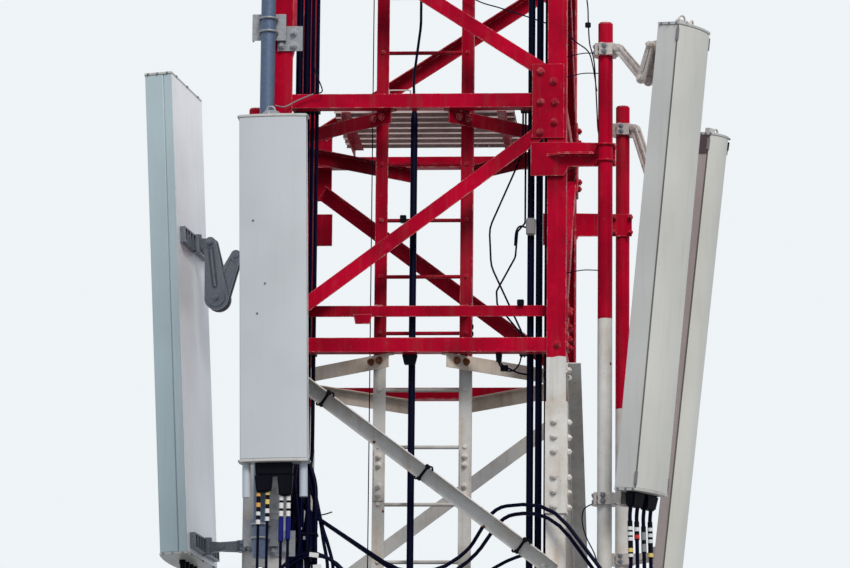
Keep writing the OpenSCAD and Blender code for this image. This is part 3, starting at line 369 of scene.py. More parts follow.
# name, colour, colour of its dirt, roughness, share of streaks and share of specks
plain("left_radome", (0.365, 0.46, 0.495), (0.24, 0.27, 0.25), 0.45, 0.14, 0.05)
for tray, front in (("left_tray", None), ("wide_tray", (0.375, 0.47, 0.505))):
    plain(tray, (0.86, 0.91, 0.94), (0.6, 0.63, 0.64), 0.42, 0.22, 0.06, facing_y=front)
plain("front_radome", (0.445, 0.475, 0.5), (0.38, 0.36, 0.3), 0.45, 0.1, 0.12)
plain("right_radome", (0.55, 0.55, 0.515), (0.37, 0.34, 0.27), 0.45, 0.18, 0.1)
plain("right_tray", (0.53, 0.53, 0.515), (0.33, 0.31, 0.27), 0.45, 0.18, 0.1)
plain("rear_tray", (0.4, 0.35, 0.345), (0.22, 0.18, 0.17), 0.5, 0.25, 0.1)
plain("cap", (0.45, 0.45, 0.43), (0.1, 0.085, 0.075), 0.45, 0.3, 0.35)
plain("dark_cap", (0.075, 0.055, 0.06), (0.02, 0.018, 0.018), 0.5)
plain("gasket", (0.12, 0.118, 0.098), (0.05, 0.045, 0.04), 0.6, 0.3, 0.3)
plain("cable", (0.0007, 0.0009, 0.0125), (0.008, 0.008, 0.014), 0.42, 0.05, 0.05, specular=0.05)
plain("grey_wire", (0.2, 0.19, 0.2), (0.08, 0.07, 0.06), 0.45, specular=0.3)
plain("clip", (0.0012, 0.0013, 0.0045), (0.012, 0.011, 0.011), 0.5, 0.08, 0.1, specular=0.07)
plain("rusty", (0.17, 0.062, 0.025), (0.05, 0.02, 0.012), 0.8, tone=0.3, specular=0.2)
# The skirts' grey is partly their own colour and partly painted shade, darkened for where they hang under
# the panels
plain("skirt", (0.4, 0.44, 0.49), (0.25, 0.23, 0.21), 0.42, 0.25, 0.12)
plain("band_yellow", (0.62, 0.46, 0.13), (0.2, 0.15, 0.08), 0.4)
plain("band_amber", (0.62, 0.3, 0.05), (0.2, 0.12, 0.06), 0.4)
plain("band_white", (0.62, 0.62, 0.62), (0.25, 0.22, 0.2), 0.4)
plain("band_red", (0.5, 0.02, 0.02), (0.2, 0.08, 0.06), 0.4)
plain("band_blue", (0.004, 0.008, 0.13), (0.01, 0.012, 0.05), 0.38, specular=0.15)
plain("band_grey", (0.22, 0.22, 0.23), (0.1, 0.09, 0.08), 0.4)

# Which CAD nodes wear a finish. Cables wear "cable", and the other nodes "red_paint"
WORN_BY = {
    "mast_paint": "lower_legs upper_legs lower_diagonals leg_splices arms_rear_left arms_front_right "
                  "arms_rear_right",
    "inner_paint": "ladder_stringers ladder_rungs ladder_brackets cable_bearer",
    "strut_paint": "lower_struts", "plan_paint": "lower_plan_bracing",
    "shaded_paint": "upper_plan_bracing", "front_pole_paint": "pole_front_right",
    "rear_pole_paint": "pole_rear_left pole_rear_right", "pole_zinc": "pole_front_left",
    "zinc": "base_plates arms_front_left", "cast_zinc": "bracket_left",
    "old_zinc": "bracket_front bracket_right bracket_rear", "slats": "platform_slats",
    "left_radome": "left_panel_radome", "wide_tray": "left_panel_tray",
    "front_radome": "front_panel_radome", "left_tray": "front_panel_tray",
    "right_radome": "right_panel_radome rear_panel_radome", "right_tray": "right_panel_tray",
    "rear_tray": "rear_panel_tray", "cap": "panel_end_caps", "skirt": "panel_skirts",
    "clip": "feeder_clamps panel_connectors"}
LOOK_OF = {name: look for look, names in WORN_BY.items() for name in names.split()}
ROUNDED = {"legs": 0.0015, "struts": 0.001, "diagonals": 0.001, "bracing": 0.001, "plates": 0.001,
           "splices": 0.001, "stringers": 0.001, "carriers": 0.001, "radome": 0.004, "tray": 0.003,
           "caps": 0.003, "bearer": 0.001}


# CAD nodes are loose triangles: this joins them, and shades what is round as round
def make_shading_tree():
    tree, takes = new_group("smooth_shading", {"Geometry": SHAPE, "Crease": math.radians(32)},
                            "GeometryNodeTree")
    joined = add(tree, "GeometryNodeMergeByDistance", {"Geometry": takes["Geometry"],
                                                       "Distance": 0.00001})
    smooth = add(tree, "GeometryNodeSetShadeSmooth", {"Geometry": joined.outputs[0],
                                                      "Shade Smooth": True})
    angle = add(tree, "GeometryNodeInputMeshEdgeAngle").outputs[0]
    sharp = add(tree, "FunctionNodeCompare", {0: angle, 1: takes["Crease"]}, data_type="FLOAT",
                operation="GREATER_THAN")
    creased = add(tree, "GeometryNodeSetShadeSmooth",
                  {"Geometry": smooth.outputs[0], "Selection": sharp.outputs[0],
                   "Shade Smooth": False}, domain="EDGE")
    return close_group(tree, {"Geometry": creased.outputs[0]})


def dress_frame():
    shading = make_shading_tree()
    for name, node in nodes.items():
        kind = name.split("_")[-1]
        is_cable = kind in ("leads", "feeders", "feeder")
        look = LOOKS[LOOK_OF.get(name, "cable" if is_cable else "red_paint")]
        for slot in node.material_slots:
            slot.material = look
        node.modifiers.new("smooth_shading", "NODES").node_group = shading
        if kind in ROUNDED:
            rounding = node.modifiers.new("rounded_edges", "BEVEL")
            rounding.width = ROUNDED[kind]
            rounding.segments = 2
            rounding.limit_method = "ANGLE"
            rounding.angle_limit = math.radians(40)


# Pieces
def finish_piece(obj, look):
    """Gives a piece its finish and its body."""
    if look:
        obj.data.materials.clear()
        obj.data.materials.append(LOOKS[look])
    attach(obj, "root")
    return obj


def mesh_object(name, mesh):
    obj = bpy.data.objects.new(name, mesh)
    scene.collection.objects.link(obj)
    return obj


def settle(obj):
    """Turns an object with live modifiers into a plain mesh object of the same name."""
    evaluated = obj.evaluated_get(bpy.context.evaluated_depsgraph_get())
    mesh = bpy.data.meshes.new_from_object(evaluated)
    name = obj.name
    bpy.data.objects.remove(obj)
    mesh.name = name
    return mesh_object(name, mesh)


def grow(name, mesh, tree, slot, **values):
    """Runs a geometry node tree on a mesh, and keeps the result as a piece."""
    obj = mesh_object(name, mesh)
    modifier = obj.modifiers.new(tree.name, "NODES")
    modifier.node_group = tree
    for item in tree.interface.items_tree:
        if item.in_out == "INPUT" and item.name in values:
            modifier[item.identifier] = values[item.name]
    return finish_piece(settle(obj), None)


def close_piece_tree(tree, shape, finish):
    """Ends a tree that makes a piece: its geometry made real, with the finish on it."""
    real = add(tree, "GeometryNodeRealizeInstances", {0: shape})
    coated = add(tree, "GeometryNodeSetMaterial", {"Geometry": real.outputs[0], "Material": finish})
    return close_group(tree, {"Geometry": coated.outputs[0]})


# Bolts: one node tree sets a hexagon head, a washer and a threaded end on each point
def make_bolt_tree():
    tree, takes = new_group("bolts", {"Geometry": SHAPE, "Flats": 0.03, "Head": 0.012, "Shank": 0.02,
                                      "Tail": 0.03, "Finish": FINISH}, "GeometryNodeTree")
    flats, head, tail = takes["Flats"], takes["Head"], takes["Tail"]

    def rod(vertices, radius, depth, middle):
        made = add(tree, "GeometryNodeMeshCylinder", {"Vertices": vertices, "Radius": radius,
                                                      "Depth": depth})
        shift = add(tree, "ShaderNodeCombineXYZ", {"Z": middle})
        moved = add(tree, "GeometryNodeTransform", {"Geometry": made.outputs["Mesh"],
                                                    "Translation": shift.outputs[0]})
        return moved.outputs[0]

    washer_h, boss_h = 0.003, 0.002
    hexagon = rod(6, times(tree, flats, 0.577), head,
                  maths(tree, "ADD", times(tree, head, 0.5), washer_h))
    boss = rod(16, times(tree, flats, 0.44), boss_h, maths(tree, "ADD", head, washer_h + boss_h / 2))
    washer = rod(20, times(tree, flats, 0.72), washer_h, washer_h / 2)
    shank = rod(12, times(tree, takes["Shank"], 0.5), tail,
                maths(tree, "ADD", head, times(tree, tail, 0.5)))
    whole = add(tree, "GeometryNodeJoinGeometry")
    for part in (hexagon, boss, washer, shank):
        tree.links.new(part, whole.inputs[0])
    axis = add(tree, "GeometryNodeInputNamedAttribute", {"Name": "axis"}, data_type="FLOAT_VECTOR")
    along = add(tree, "FunctionNodeAlignRotationToVector", {"Vector": axis.outputs[0]}, axis="Z")
    spin = add(tree, "FunctionNodeRandomValue", {"Max": 1.05, "Seed": 7}, data_type="FLOAT")
    spin_z = add(tree, "ShaderNodeCombineXYZ", {"Z": spin.outputs["Value"]})
    turned = add(tree, "FunctionNodeRotateRotation",
                 {"Rotation": along.outputs[0], "Rotate By": spin_z.outputs[0]},
                 rotation_space="LOCAL")
    placed = add(tree, "GeometryNodeInstanceOnPoints",
                 {"Points": takes["Geometry"], "Instance": whole.outputs[0],
                  "Rotation": turned.outputs[0]})
    return close_piece_tree(tree, placed.outputs[0], takes["Finish"])


# Strands: one node tree sweeps a round section along each line of a mesh
def make_strand_tree():
    tree, takes = new_group("strands", {"Geometry": SHAPE, "Radius": 0.01, "Sides": 12,
                                        "Finish": FINISH}, "GeometryNodeTree")
    line = add(tree, "GeometryNodeMeshToCurve", {"Mesh": takes["Geometry"]})
    section = add(tree, "GeometryNodeCurvePrimitiveCircle", {"Resolution": takes["Sides"],
                                                             "Radius": takes["Radius"]})
    swept = add(tree, "GeometryNodeCurveToMesh", {"Curve": line.outputs[0],
                                                  "Profile Curve": section.outputs[0],
                                                  "Fill Caps": True})
    smooth = add(tree, "GeometryNodeSetShadeSmooth", {"Geometry": swept.outputs[0],
                                                      "Shade Smooth": True})
    return close_piece_tree(tree, smooth.outputs[0], takes["Finish"])


make_camera()
dress_frame()
bolt_tree = make_bolt_tree()
strand_tree = make_strand_tree()


def bolts(name, places, look, slot, size=(0.03, 0.012, 0.016, 0.01)):
    """Bolts at places, a list of (point, outward direction). Their size is the width across the
    flats, the head's height, the shank's diameter and the length of its free end."""
    mesh = bpy.data.meshes.new(name)
    mesh.from_pydata([point for point, _ in places], [], [])
    axis = mesh.attributes.new("axis", "FLOAT_VECTOR", "POINT")
    axis.data.foreach_set("vector", [c for _, way in places for c in way])
    flats, head, shank, tail = size
    return grow(name, mesh, bolt_tree, slot, Flats=flats, Head=head, Shank=shank, Tail=tail,
                Finish=LOOKS[look])


def eased(points):
    """A smooth path through points, as a Catmull-Rom curve."""
    steps = 7
    points = [Vector(p) for p in points]
    if len(points) < 3:
        return points
    ends = [2 * points[0] - points[1], *points, 2 * points[-1] - points[-2]]
    path = []
    for a, b, c, d in zip(ends, ends[1:], ends[2:], ends[3:]):
        for n in range(steps):
            t = n / steps
            path.append(0.5 * (2 * b + (c - a) * t + (2 * a - 5 * b + 4 * c - d) * t * t
                               + (3 * b - a - 3 * c + d) * t ** 3))
    return path + [points[-1]]


def strands(name, paths, radius, look, slot="cable_sheath", sides=12, ease=True):
    """Round strands of one radius along paths."""
    points, edges = [], []
    for path in paths:
        path = eased(path) if ease else [Vector(p) for p in path]
        first = len(points)
        points += path
        edges += [(first + n, first + n + 1) for n in range(len(path) - 1)]
    mesh = bpy.data.meshes.new(name)
    mesh.from_pydata(points, edges, [])
    return grow(name, mesh, strand_tree, slot, Radius=radius, Sides=sides, Finish=LOOKS[look])


def ring_path(centre, radius, side, up):
    """Points of a circle in the plane of two directions."""
    count = 28
    centre, side, up = Vector(centre), Vector(side), Vector(up)
    return [centre + radius * (math.cos(a) * side + math.sin(a) * up)
            for a in (2 * math.pi * n / count for n in range(count + 1))]


def box(centre, size, taper=1.0, turn=None):
    """A box for blocks(); taper is its lower end's share of the size."""
    return centre, size, taper, turn or Matrix.Identity(3)


def blocks(name, boxes, look, round_off=0.003):
    """Boxes with rounded edges."""
    whole = bmesh.new()
    for centre, size, taper, turn in boxes:
        one = bmesh.new()
        bmesh.ops.create_cube(one, size=1.0)
        for corner in one.verts:
            share = taper if corner.co.z < 0 else 1.0
            corner.co = Vector((corner.co.x * size[0] * share, corner.co.y * size[1] * share,
                                corner.co.z * size[2]))
        bmesh.ops.bevel(one, geom=one.edges[:], offset=round_off, segments=2, affect="EDGES")
        place = Matrix.Translation(centre) @ turn.to_4x4()
        bmesh.ops.transform(one, matrix=place, verts=one.verts)
        part = bpy.data.meshes.new("part")
        one.to_mesh(part)
        whole.from_mesh(part)
        one.free()
        bpy.data.meshes.remove(part)
    mesh = bpy.data.meshes.new(name)
    whole.to_mesh(mesh)
    whole.free()
    return finish_piece(mesh_object(name, mesh), look)


def straps(name, items, look, thick=0.002):
    """Flat straps pulled round a member; an item is (outline points, direction along, width)."""
    points, faces = [], []
    for outline, along, width in items:
        outline = [Vector(p) for p in outline]
        along = Vector(along).normalized() * (width / 2)
        middle = sum(outline, Vector()) / len(outline)
        first = len(points)
        for point in outline:
            out = (point - middle).normalized() * thick
            points += [point - along, point + along, point + out + along, point + out - along]
        for n in range(len(outline)):
            a, b = first + 4 * n, first + 4 * ((n + 1) % len(outline))
            for k in range(4):
                m = (k + 1) % 4
                faces.append((a + k, a + m, b + m, b + k))
    mesh = bpy.data.meshes.new(name)
    mesh.from_pydata(points, [], faces)
    shell = bmesh.new()
    shell.from_mesh(mesh)
    bmesh.ops.recalc_face_normals(shell, faces=shell.faces)
    shell.to_mesh(mesh)
    shell.free()
    return finish_piece(mesh_object(name, mesh), look)


def on_faces(places):
    """Repeats places of the front face on all four faces of the tower."""
    made = []
    for face in range(4):
        turn = Matrix.Rotation(math.radians(90 * face), 3, "Z")
        made += [(turn @ Vector(point), turn @ Vector(way)) for point, way in places]
    return made


def diagonal_z(bay, x):
    """Height of the middle of a bay's diagonal, at a place across the face."""
    rise = RINGS[bay] - RINGS[bay - 1] - 2 * DIAGONAL_INSET
    middle = (RINGS[bay] + RINGS[bay - 1]) / 2
    return middle + (1 if bay % 2 else -1) * rise / (2 * LEG_LINE) * x


# Bolts of the mast and the ladder
def mast_bolts():
    """Bolts of the splices, gussets, diagonals, ring corners and plan braces."""
    face = -HALF - PLATE
    places = [((side * 0.706, face, SPLICE_Z + step), FRONT) for side in (-1, 1)
              for step in (0.188, 0.11, 0.035, -0.097, -0.175, -0.252)]
    # the gussets at the fourth and sixth rings are shorter than the fifth ring's
    shift, share = 0.11, 0.62
    for x, z in ((0.63, 0.147), (0.698, 0.096), (0.629, -0.015), (0.704, -0.016), (0.702, -0.122),
                 (0.63, -0.175)):
        places += [((-x, face, RINGS[4] + shift + z * share), FRONT),
                   ((-x, face, RINGS[6] - shift + z * share), FRONT), ((x, face, RINGS[5] + z), FRONT)]
    places += [((x, -HALF - BRACE_T, diagonal_z(bay, x) - 0.008), FRONT) for bay in (1, 2, 3, 4)
               for x in (-0.7, -0.655, 0.655, 0.7)]
    corners = [(side, ring) for ring in (1, 2, 3) for side in (-1, 1)] + [(1, 4)]
    places += [((side * 0.722, -HALF, RINGS[ring]), FRONT) for side, ring in corners]
    bolts("mast_bolts", on_faces(places), "bolt_paint", "red_paint")
    # under each ring, where the plan braces meet the struts
    for look, rings in (("plan_paint", (1, 2, 3, 5)), ("rusty", (4,))):
        hung = [((x, y, RINGS[ring] - BRACE_W + 0.004), (0.7071, -0.7071, 0)) for ring in rings
                for x, y in ((0.2, -0.69), (0.245, -0.645), (0.645, -0.245), (0.69, -0.2))]
        bolts("bracing_bolts_" + look, on_faces(hung), look, "white_paint",
              (0.028, 0.012, 0.014, 0.012))


def ladder_fixings():
    """Bolts at the rungs' ends, joint plates of the stringers, and bolts of the brackets."""
    sides = [LADDER_X + s * LADDER_W / 2 for s in (-1, 1)]
    ends = [((x, LADDER_Y, RUNG_Z0 + n * RUNG_STEP), FRONT) for n in range(RUNG_COUNT) for x in sides]
    bolts("rung_ends", ends, "bolt_paint", "red_paint", (0.018, 0.004, 0.01, 0.003))
    joints = [(x, z) for x in sides for z in (1.62, SPLICE_Z - 0.055)]
    plate_t = 0.006
    blocks("ladder_joints", [box((x, LADDER_Y - plate_t / 2, z), (0.052, plate_t, 0.27))
                             for x, z in joints], "inner_paint", 0.0015)
    places = [((x, LADDER_Y - plate_t, z + step), FRONT) for x, z in joints
              for step in (-0.1, -0.055, 0.055, 0.1)]
    bolts("ladder_joint_bolts", places, "old_zinc", "galvanised_steel", (0.024, 0.012, 0.014, 0.014))
    held = []
    for z in [r - BRACE_W / 2 for r in RINGS[1:]] + [RINGS[4] + 0.225]:
        held += [((x + step, LADDER_Y + 0.0061, z - 0.045), BACK) for x in sides
                 for step in (-0.014, 0.014)]
        held += [((x, LADDER_Y - 0.022, z - 0.0001), DOWN) for x in sides]
    bolts("ladder_bracket_bolts", held, "bolt_paint", "red_paint", (0.022, 0.01, 0.012, 0.016))


mast_bolts()
ladder_fixings()


# Ties, cables and thin wires that the CAD leaves out
def diagonal_ties():
    """Black straps round the white diagonal of the fourth bay, with their heads and loose ends."""
    slope = math.atan2(diagonal_z(4, 0.5) - diagonal_z(4, -0.5), 1.0)
    along = Vector((math.cos(slope), 0, math.sin(slope)))
    over = Vector((-math.sin(slope), 0, math.cos(slope)))
    turn = Matrix((along, Vector((0, 1, 0)), over)).transposed()
    face_y, lip_y, half, slack = -HALF - BRACE_T, -HALF - BRACE_W, BRACE_W / 2, 0.002
    items, heads, ends = [], [], []
    for x, lean in ((-0.47, 0.1), (0.04, 0.14), (0.541, 0.1)):
        middle = Vector((x, 0, diagonal_z(4, x)))

        def at(y, u):
            return middle + Vector((0, y, 0)) + over * u + along * (u * lean)
        outline = [at(lip_y - slack, half + slack), at(-HALF + slack, half + slack),
                   at(-HALF + slack, -half - slack), at(face_y - slack, -half - slack)]
        items.append((outline, along, 0.015))
        top, low = at(lip_y - 0.006, half - slack), at(face_y - 0.008, -half + slack)
        heads += [box(top, (0.026, 0.018, 0.02), 1.0, turn), box(low, (0.024, 0.016, 0.018), 1.0, turn)]
        ends.append([top, top + over * 0.01 + along * 0.02, top + along * 0.034 - over * 0.004])
        ends.append([low, low - over * 0.01 - along * 0.014, low - along * 0.024 - over * 0.004])
    straps("diagonal_ties", items, "clip", 0.003)
    blocks("diagonal_tie_heads", heads, "clip")
    strands("diagonal_tie_ends", ends, 0.005, "clip", sides=8)


def slack_cables():
    """Slack that hangs from the left run, below the front panel, with leads and a spare coil."""
    thick = []
    for n, (x, y) in enumerate(((-0.655, -0.712), (-0.632, -0.73), (-0.61, -0.7), (-0.59, -0.735),
                                (-0.567, -0.705), (-0.545, -0.728), (-0.52, -0.7),
                                (-0.645, -0.69), (-0.6, -0.745), (-0.556, -0.742), (-0.534, -0.688))):
        bow = 0.012 * math.sin(2.1 * n)
        foot = x - 0.3 * (x + 0.59)
        thick.append([(-0.6 + 0.1 * (x + 0.59), -0.65, 4.64), (x + bow - 0.012, y + 0.03, 4.47),
                      (x + bow, y, 4.33), (x - bow * 0.5, y, 4.16), (x + bow * 0.6, y, 4.0),
                      (foot, y + 0.02, 3.84), (foot, y + 0.055, 3.7), (foot, y + 0.07, 3.56)])
    strands("slack_cables", thick, 0.0125, "cable")
    thin = [
        [(-0.59, -0.65, 4.62), (-0.545, -0.672, 4.42), (-0.5, -0.676, 4.27), (-0.478, -0.684, 4.15),
         (-0.455, -0.684, 4.01), (-0.47, -0.675, 3.84), (-0.53, -0.66, 3.66)],
        [(-0.585, -0.645, 4.62), (-0.53, -0.668, 4.42), (-0.487, -0.68, 4.233), (-0.454, -0.684, 4.13),
         (-0.427, -0.684, 4.011), (-0.44, -0.675, 3.86), (-0.52, -0.66, 3.68)],
        [(-0.57, -0.66, 3.7), (-0.47, -0.665, 3.83), (-0.3, -0.67, 3.895), (0.0, -0.668, 3.88),
         (0.25, -0.66, 3.93), (0.402, -0.655, 4.017), (0.479, -0.65, 4.058), (0.56, -0.645, 4.083),
         (0.62, -0.64, 4.06), (0.655, -0.636, 3.96), (0.655, -0.636, 3.7)],
    ]
    strands("slack_leads", thin, 0.009, "cable")
    coil = [ring_path((-0.545 + lift, -0.755 - 0.012 * (turn % 2), 3.895 - lift * 0.6), 0.185,
                      (1, 0, 0), UP) for turn, lift in enumerate((0.0, 0.01, 0.02, 0.03))]
    strands("spare_coil", coil, 0.0085, "cable", ease=False)


def thin_wires():
    """Thin wires at the panels' heads and feet, along the front right pole and the ladder."""
    wires = [
        # from the front panel's head across the strut to the left run
        [(-0.572, -0.645, 6.688), (-0.549, -0.69, 6.612), (-0.512, -0.765, 6.52),
         (-0.512, -0.79, 6.488), (-0.552, -0.784, 6.482)],
        # from the right run up to the middle of the mast
        [(0.656, -0.575, 6.902), (0.536, -0.562, 6.948), (0.404, -0.56, 6.993), (0.278, -0.56, 7.037),
         (0.12, -0.565, 7.15), (0.02, -0.58, 7.32), (0.008, -0.59, 7.48)],
        # down to the front right pole and along it
        [(0.772, -0.775, 7.54), (0.82, -0.775, 7.25), (0.868, -0.775, 6.979), (0.876, -0.785, 6.85),
         (0.884, -0.8, 6.737), (0.908, -0.815, 6.632), (0.922, -0.823, 6.4), (0.929, -0.835, 6.27),
         (0.941, -0.842, 6.235)],
        [(0.772, -0.76, 6.8), (0.812, -0.77, 6.754), (0.874, -0.79, 6.7), (0.9, -0.815, 6.62),
         (0.922, -0.812, 6.48)],
        # from the lower clamp down to the crossing leads
        [(0.905, -0.8, 4.325), (0.862, -0.78, 4.3), (0.852, -0.775, 4.24), (0.872, -0.775, 4.16),
         (0.913, -0.8, 4.075), (0.93, -0.83, 4.02)],
        # a stray end at the left run
        [(-0.506, -0.672, 4.284), (-0.47, -0.69, 4.288), (-0.434, -0.7, 4.298)],
    ]
    strands("thin_wires", wires, 0.0035, "cable", sides=8)
    held = [[(0.766, -0.74, z), (0.85, -0.79, z + 0.006), (0.928, -0.815, z)]
            for z in (6.682, 6.575, 5.535)]
    strands("pole_ties", held, 0.0028, "cable", sides=8)
    strands("earth_wire", [[(-0.552, -0.782, 6.482), (-0.633, -0.784, 6.448), (-0.7, -0.8, 6.41),
                            (-0.742, -0.87, 6.4)]], 0.004, "grey_wire", sides=8)
    rise = [(-0.262, LADDER_Y - 0.004, z) for z in (0.4, 2.0, 3.2, 4.4, 5.3, 5.9, 6.6, 7.45)]
    strands("ladder_wire", [rise], 0.0028, "cable", sides=8)
    ties = [([(-0.268, LADDER_Y - 0.009, z), (-0.268, LADDER_Y + 0.008, z),
              (-0.176, LADDER_Y + 0.008, z), (-0.176, LADDER_Y - 0.003, z)], UP, 0.006)
            for z in [0.46] + [r + 0.052 for r in RINGS[1:6]] + [7.44]]
    straps("ladder_wire_ties", ties, "clip", 0.0015)


def slack_straps():
    """Straps that hold the slack and the coil, their blank labels, and two small grey tags that are painted
    highlights on a strap.
    """
    loops = []
    for z, x0, x1 in ((4.4, -0.652, -0.545), (4.18, -0.668, -0.508), (3.66, -0.64, -0.53)):
        y0, y1 = (-0.749, -0.655) if z > 4 else (-0.706, -0.63)
        loops.append(([(x0, y0 + 0.02, z), (x0 + 0.02, y0, z), (x1 - 0.02, y0, z), (x1, y0 + 0.02, z),
                       (x1, y1, z), (x0, y1, z)], UP, 0.01))
    for turn in (0.5, 1.6, 2.7, 5.2):
        out = Vector((math.cos(turn), 0, math.sin(turn)))
        ring = Vector((-0.53, -0.762, 3.885)) + 0.185 * out
        loops.append(([ring + out * a + Vector((0, b, 0)) for a, b in
                       ((-0.034, -0.014), (0.034, -0.018), (0.034, 0.02), (-0.034, 0.018))],
                      Vector((-out.z, 0, out.x)), 0.012))
    straps("slack_straps", loops, "clip", 0.003)
    tags = [box((x, -0.782, z), size, 1.0, Matrix.Rotation(lean, 3, "Y")) for x, z, size, lean in
            ((-0.517, 4.064, (0.048, 0.003, 0.024), 0.12), (-0.5, 4.004, (0.044, 0.003, 0.022), -0.1))]
    blocks("cable_labels", tags, "band_white", 0.001)
    # painted highlights: two small grey tags where a strap catches the light
    blocks("small_highlight_tags", [box((-0.59, -0.752, 4.205), (0.016, 0.003, 0.012)),
                            box((-0.571, -0.752, 4.156), (0.012, 0.003, 0.018))],
           "band_grey", 0.001)


def cable_ends():
    """Ferrules with nuts on the cables' free ends, at the foot and at the head of the mast."""
    side = -FEEDER_Y
    pair = [(x, FEEDER_Y) for x in (0.653, 0.673)]
    wide = [(x, FEEDER_Y) for x in (0.575, 0.619, -0.645, -0.605)]
    behind = [(side, FEEDER_Y + step) for step in (0.06, 0.085)]
    left, right = ([(x, side - 0.04 + 0.03 * n) for n in range(count)]
                   for x, count in ((-side, 4), (side, 2)))
    low = {0.018: wide + [(FEEDER_CENTRE_X, FEEDER_Y)], 0.007: pair, 0.01: behind + left + right,
           0.0075: [(-0.573 + 0.018 * n, FEEDER_Y) for n in range(4)]}
    high = {0.018: wide, 0.01: [(-0.573, FEEDER_Y), (-0.549, FEEDER_Y)],
            0.007: pair + [(FEEDER_CENTRE_X + 0.03, FEEDER_Y)]}
    for ending, groups, face, way in (("foot", low, FEEDER_LOW, -1), ("head", high, FEEDER_HIGH, 1)):
        cut = face + way * 0.012
        for radius, places in groups.items():
            name = "_%s_%d" % (ending, round(radius * 2000))
            tubes = [[(x, y, face - way * 0.045), (x, y, cut)] for x, y in places]
            strands("ferrules" + name, tubes, radius + 0.0012, "old_zinc", sides=20, ease=False)
            bolts("ferrule_nuts" + name, [((x, y, cut), (0, 0, way)) for x, y in places], "old_zinc",
                  "cable_sheath", (radius * 1.7, 0.016, radius * 1.1, 0.014))


diagonal_ties()
slack_cables()
thin_wires()
slack_straps()
cable_ends()


# Small fittings on the mast
def onto(node, x, z):
    """The place where a line straight back from the front first meets a CAD node."""
    hit, place, _, _ = nodes[node].ray_cast((x, -3, z), (0, 1, 0))
    if not hit:
        raise ValueError("nothing of %s at %s %s" % (node, x, z))
    return place



def mast_clips():
    """Clips and short leads along the rings, and a wire handle on the fifth ring's strut."""
    strands("strut_handle", [[(-0.159, -0.75, 6.478), (-0.159, -0.754, 6.499), (-0.15, -0.755, 6.505),
                              (-0.058, -0.755, 6.504), (-0.049, -0.754, 6.498), (-0.049, -0.75, 6.478)]],
            0.0035, "old_zinc", "galvanised_steel", sides=8)
    clips = [box((-0.098, -0.505, 5.872), (0.034, 0.034, 0.04), 0.9),
             box((0.527, -0.688, 5.392), (0.036, 0.022, 0.03)),
             box((0.442, -0.612, 5.06), (0.04, 0.03, 0.03)),
             box((0.874, -0.778, 6.842), (0.03, 0.022, 0.026)),
             box((0.418, -0.7, 5.1), (0.034, 0.03, 0.046), 0.8),
             box((-0.045, -0.66, 5.098), (0.08, 0.05, 0.052), 0.7),
             box((0.262, -0.5, 5.3), (0.026, 0.036, 0.022), 0.9),
             box((0.262, -0.5, 5.262), (0.026, 0.036, 0.022), 0.9)]
    blocks("cable_clips", clips, "clip")
    blocks("cable_coupler", [box((0.576, -0.64, 5.8), (0.052, 0.05, 0.088), 0.92)], "grey_wire",
           0.006)
    strands("coupler_leads", [[(0.556, -0.648, 5.795), (0.52, -0.655, 5.8), (0.5, -0.65, 5.77),
                               (0.494, -0.645, 5.7)]], 0.005, "cable", sides=8)
    strands("strut_loop", [[(0.403, -0.612, 5.159), (0.41, -0.618, 5.095), (0.442, -0.622, 5.05),
                            (0.49, -0.622, 5.048), (0.522, -0.618, 5.09), (0.531, -0.612, 5.16)]],
            0.004, "cable", sides=8)
    blocks("bearer_tab", [box((-0.29, -0.6825, 5.308), (0.098, 0.006, 0.052), 0.78)], "red_paint",
           0.0015)


def mast_fittings():
    """Bolts of the front left pole's foot plates, plugs in the front panel, and small parts."""
    feet = [(onto("arms_front_left", x, z + arm), FRONT) for arm in (4.175, 6.832)
            for x, z in ((-0.659, -0.021), (-0.659, -0.091), (-0.722, -0.091))]
    bolts("foot_plate_bolts", feet, "zinc", "galvanised_steel", (0.03, 0.014, 0.018, 0.016))
    plugs = [(onto("front_panel_radome", x, z), FRONT) for x, z in
             ((-0.829, 5.753), (-0.762, 5.424), (-0.8, 5.268))]
    bolts("panel_plugs", plugs, "gasket", "radome", (0.007, 0.0015, 0.004, 0.0005))
    # the loose lead that runs from the clip under the fourth ring to the right run
    strands("ring_leads", [[(0.418, -0.7, 5.08), (0.44, -0.69, 5.06), (0.475, -0.67, 5.045),
                            (0.52, -0.64, 5.03), (0.572, -0.6, 5.028)]], 0.005, "cable", sides=8)
    # short tubes that are strapped under the rest platform
    casts = ((y, *nodes["platform_slats"].ray_cast((0.27, y, 6.2), UP))
             for y in (0.36, 0.33, 0.39, 0.3))
    y, low = next((y, place.z) for y, hit, place, _, _ in casts if hit)
    strands("platform_tubes", [[(x, y, low - 0.0125), (x + 0.055, y, low - 0.0125)]
                               for x in (0.213, 0.276)], 0.014, "slats", "worn_slats", sides=16)
    straps("platform_tube_straps", [([(x, y - 0.016, low + 0.0005), (x, y - 0.016, low - 0.0275),
                                      (x, y + 0.016, low - 0.0275), (x, y + 0.016, low + 0.0005)],
                                     (1, 0, 0), 0.01) for x in (0.24, 0.304)],
           "old_zinc", 0.002)
    strands("joint_rod", [[(0.77, -0.7, 4.285), (0.77, -0.775, 4.281), (0.772, -0.8, 4.281)]],
            0.006, "old_zinc", "galvanised_steel", sides=8)


mast_clips()
mast_fittings()


# Places on the panels and on their leads
CAP_LIP, CAP_H = 0.003, 0.0143


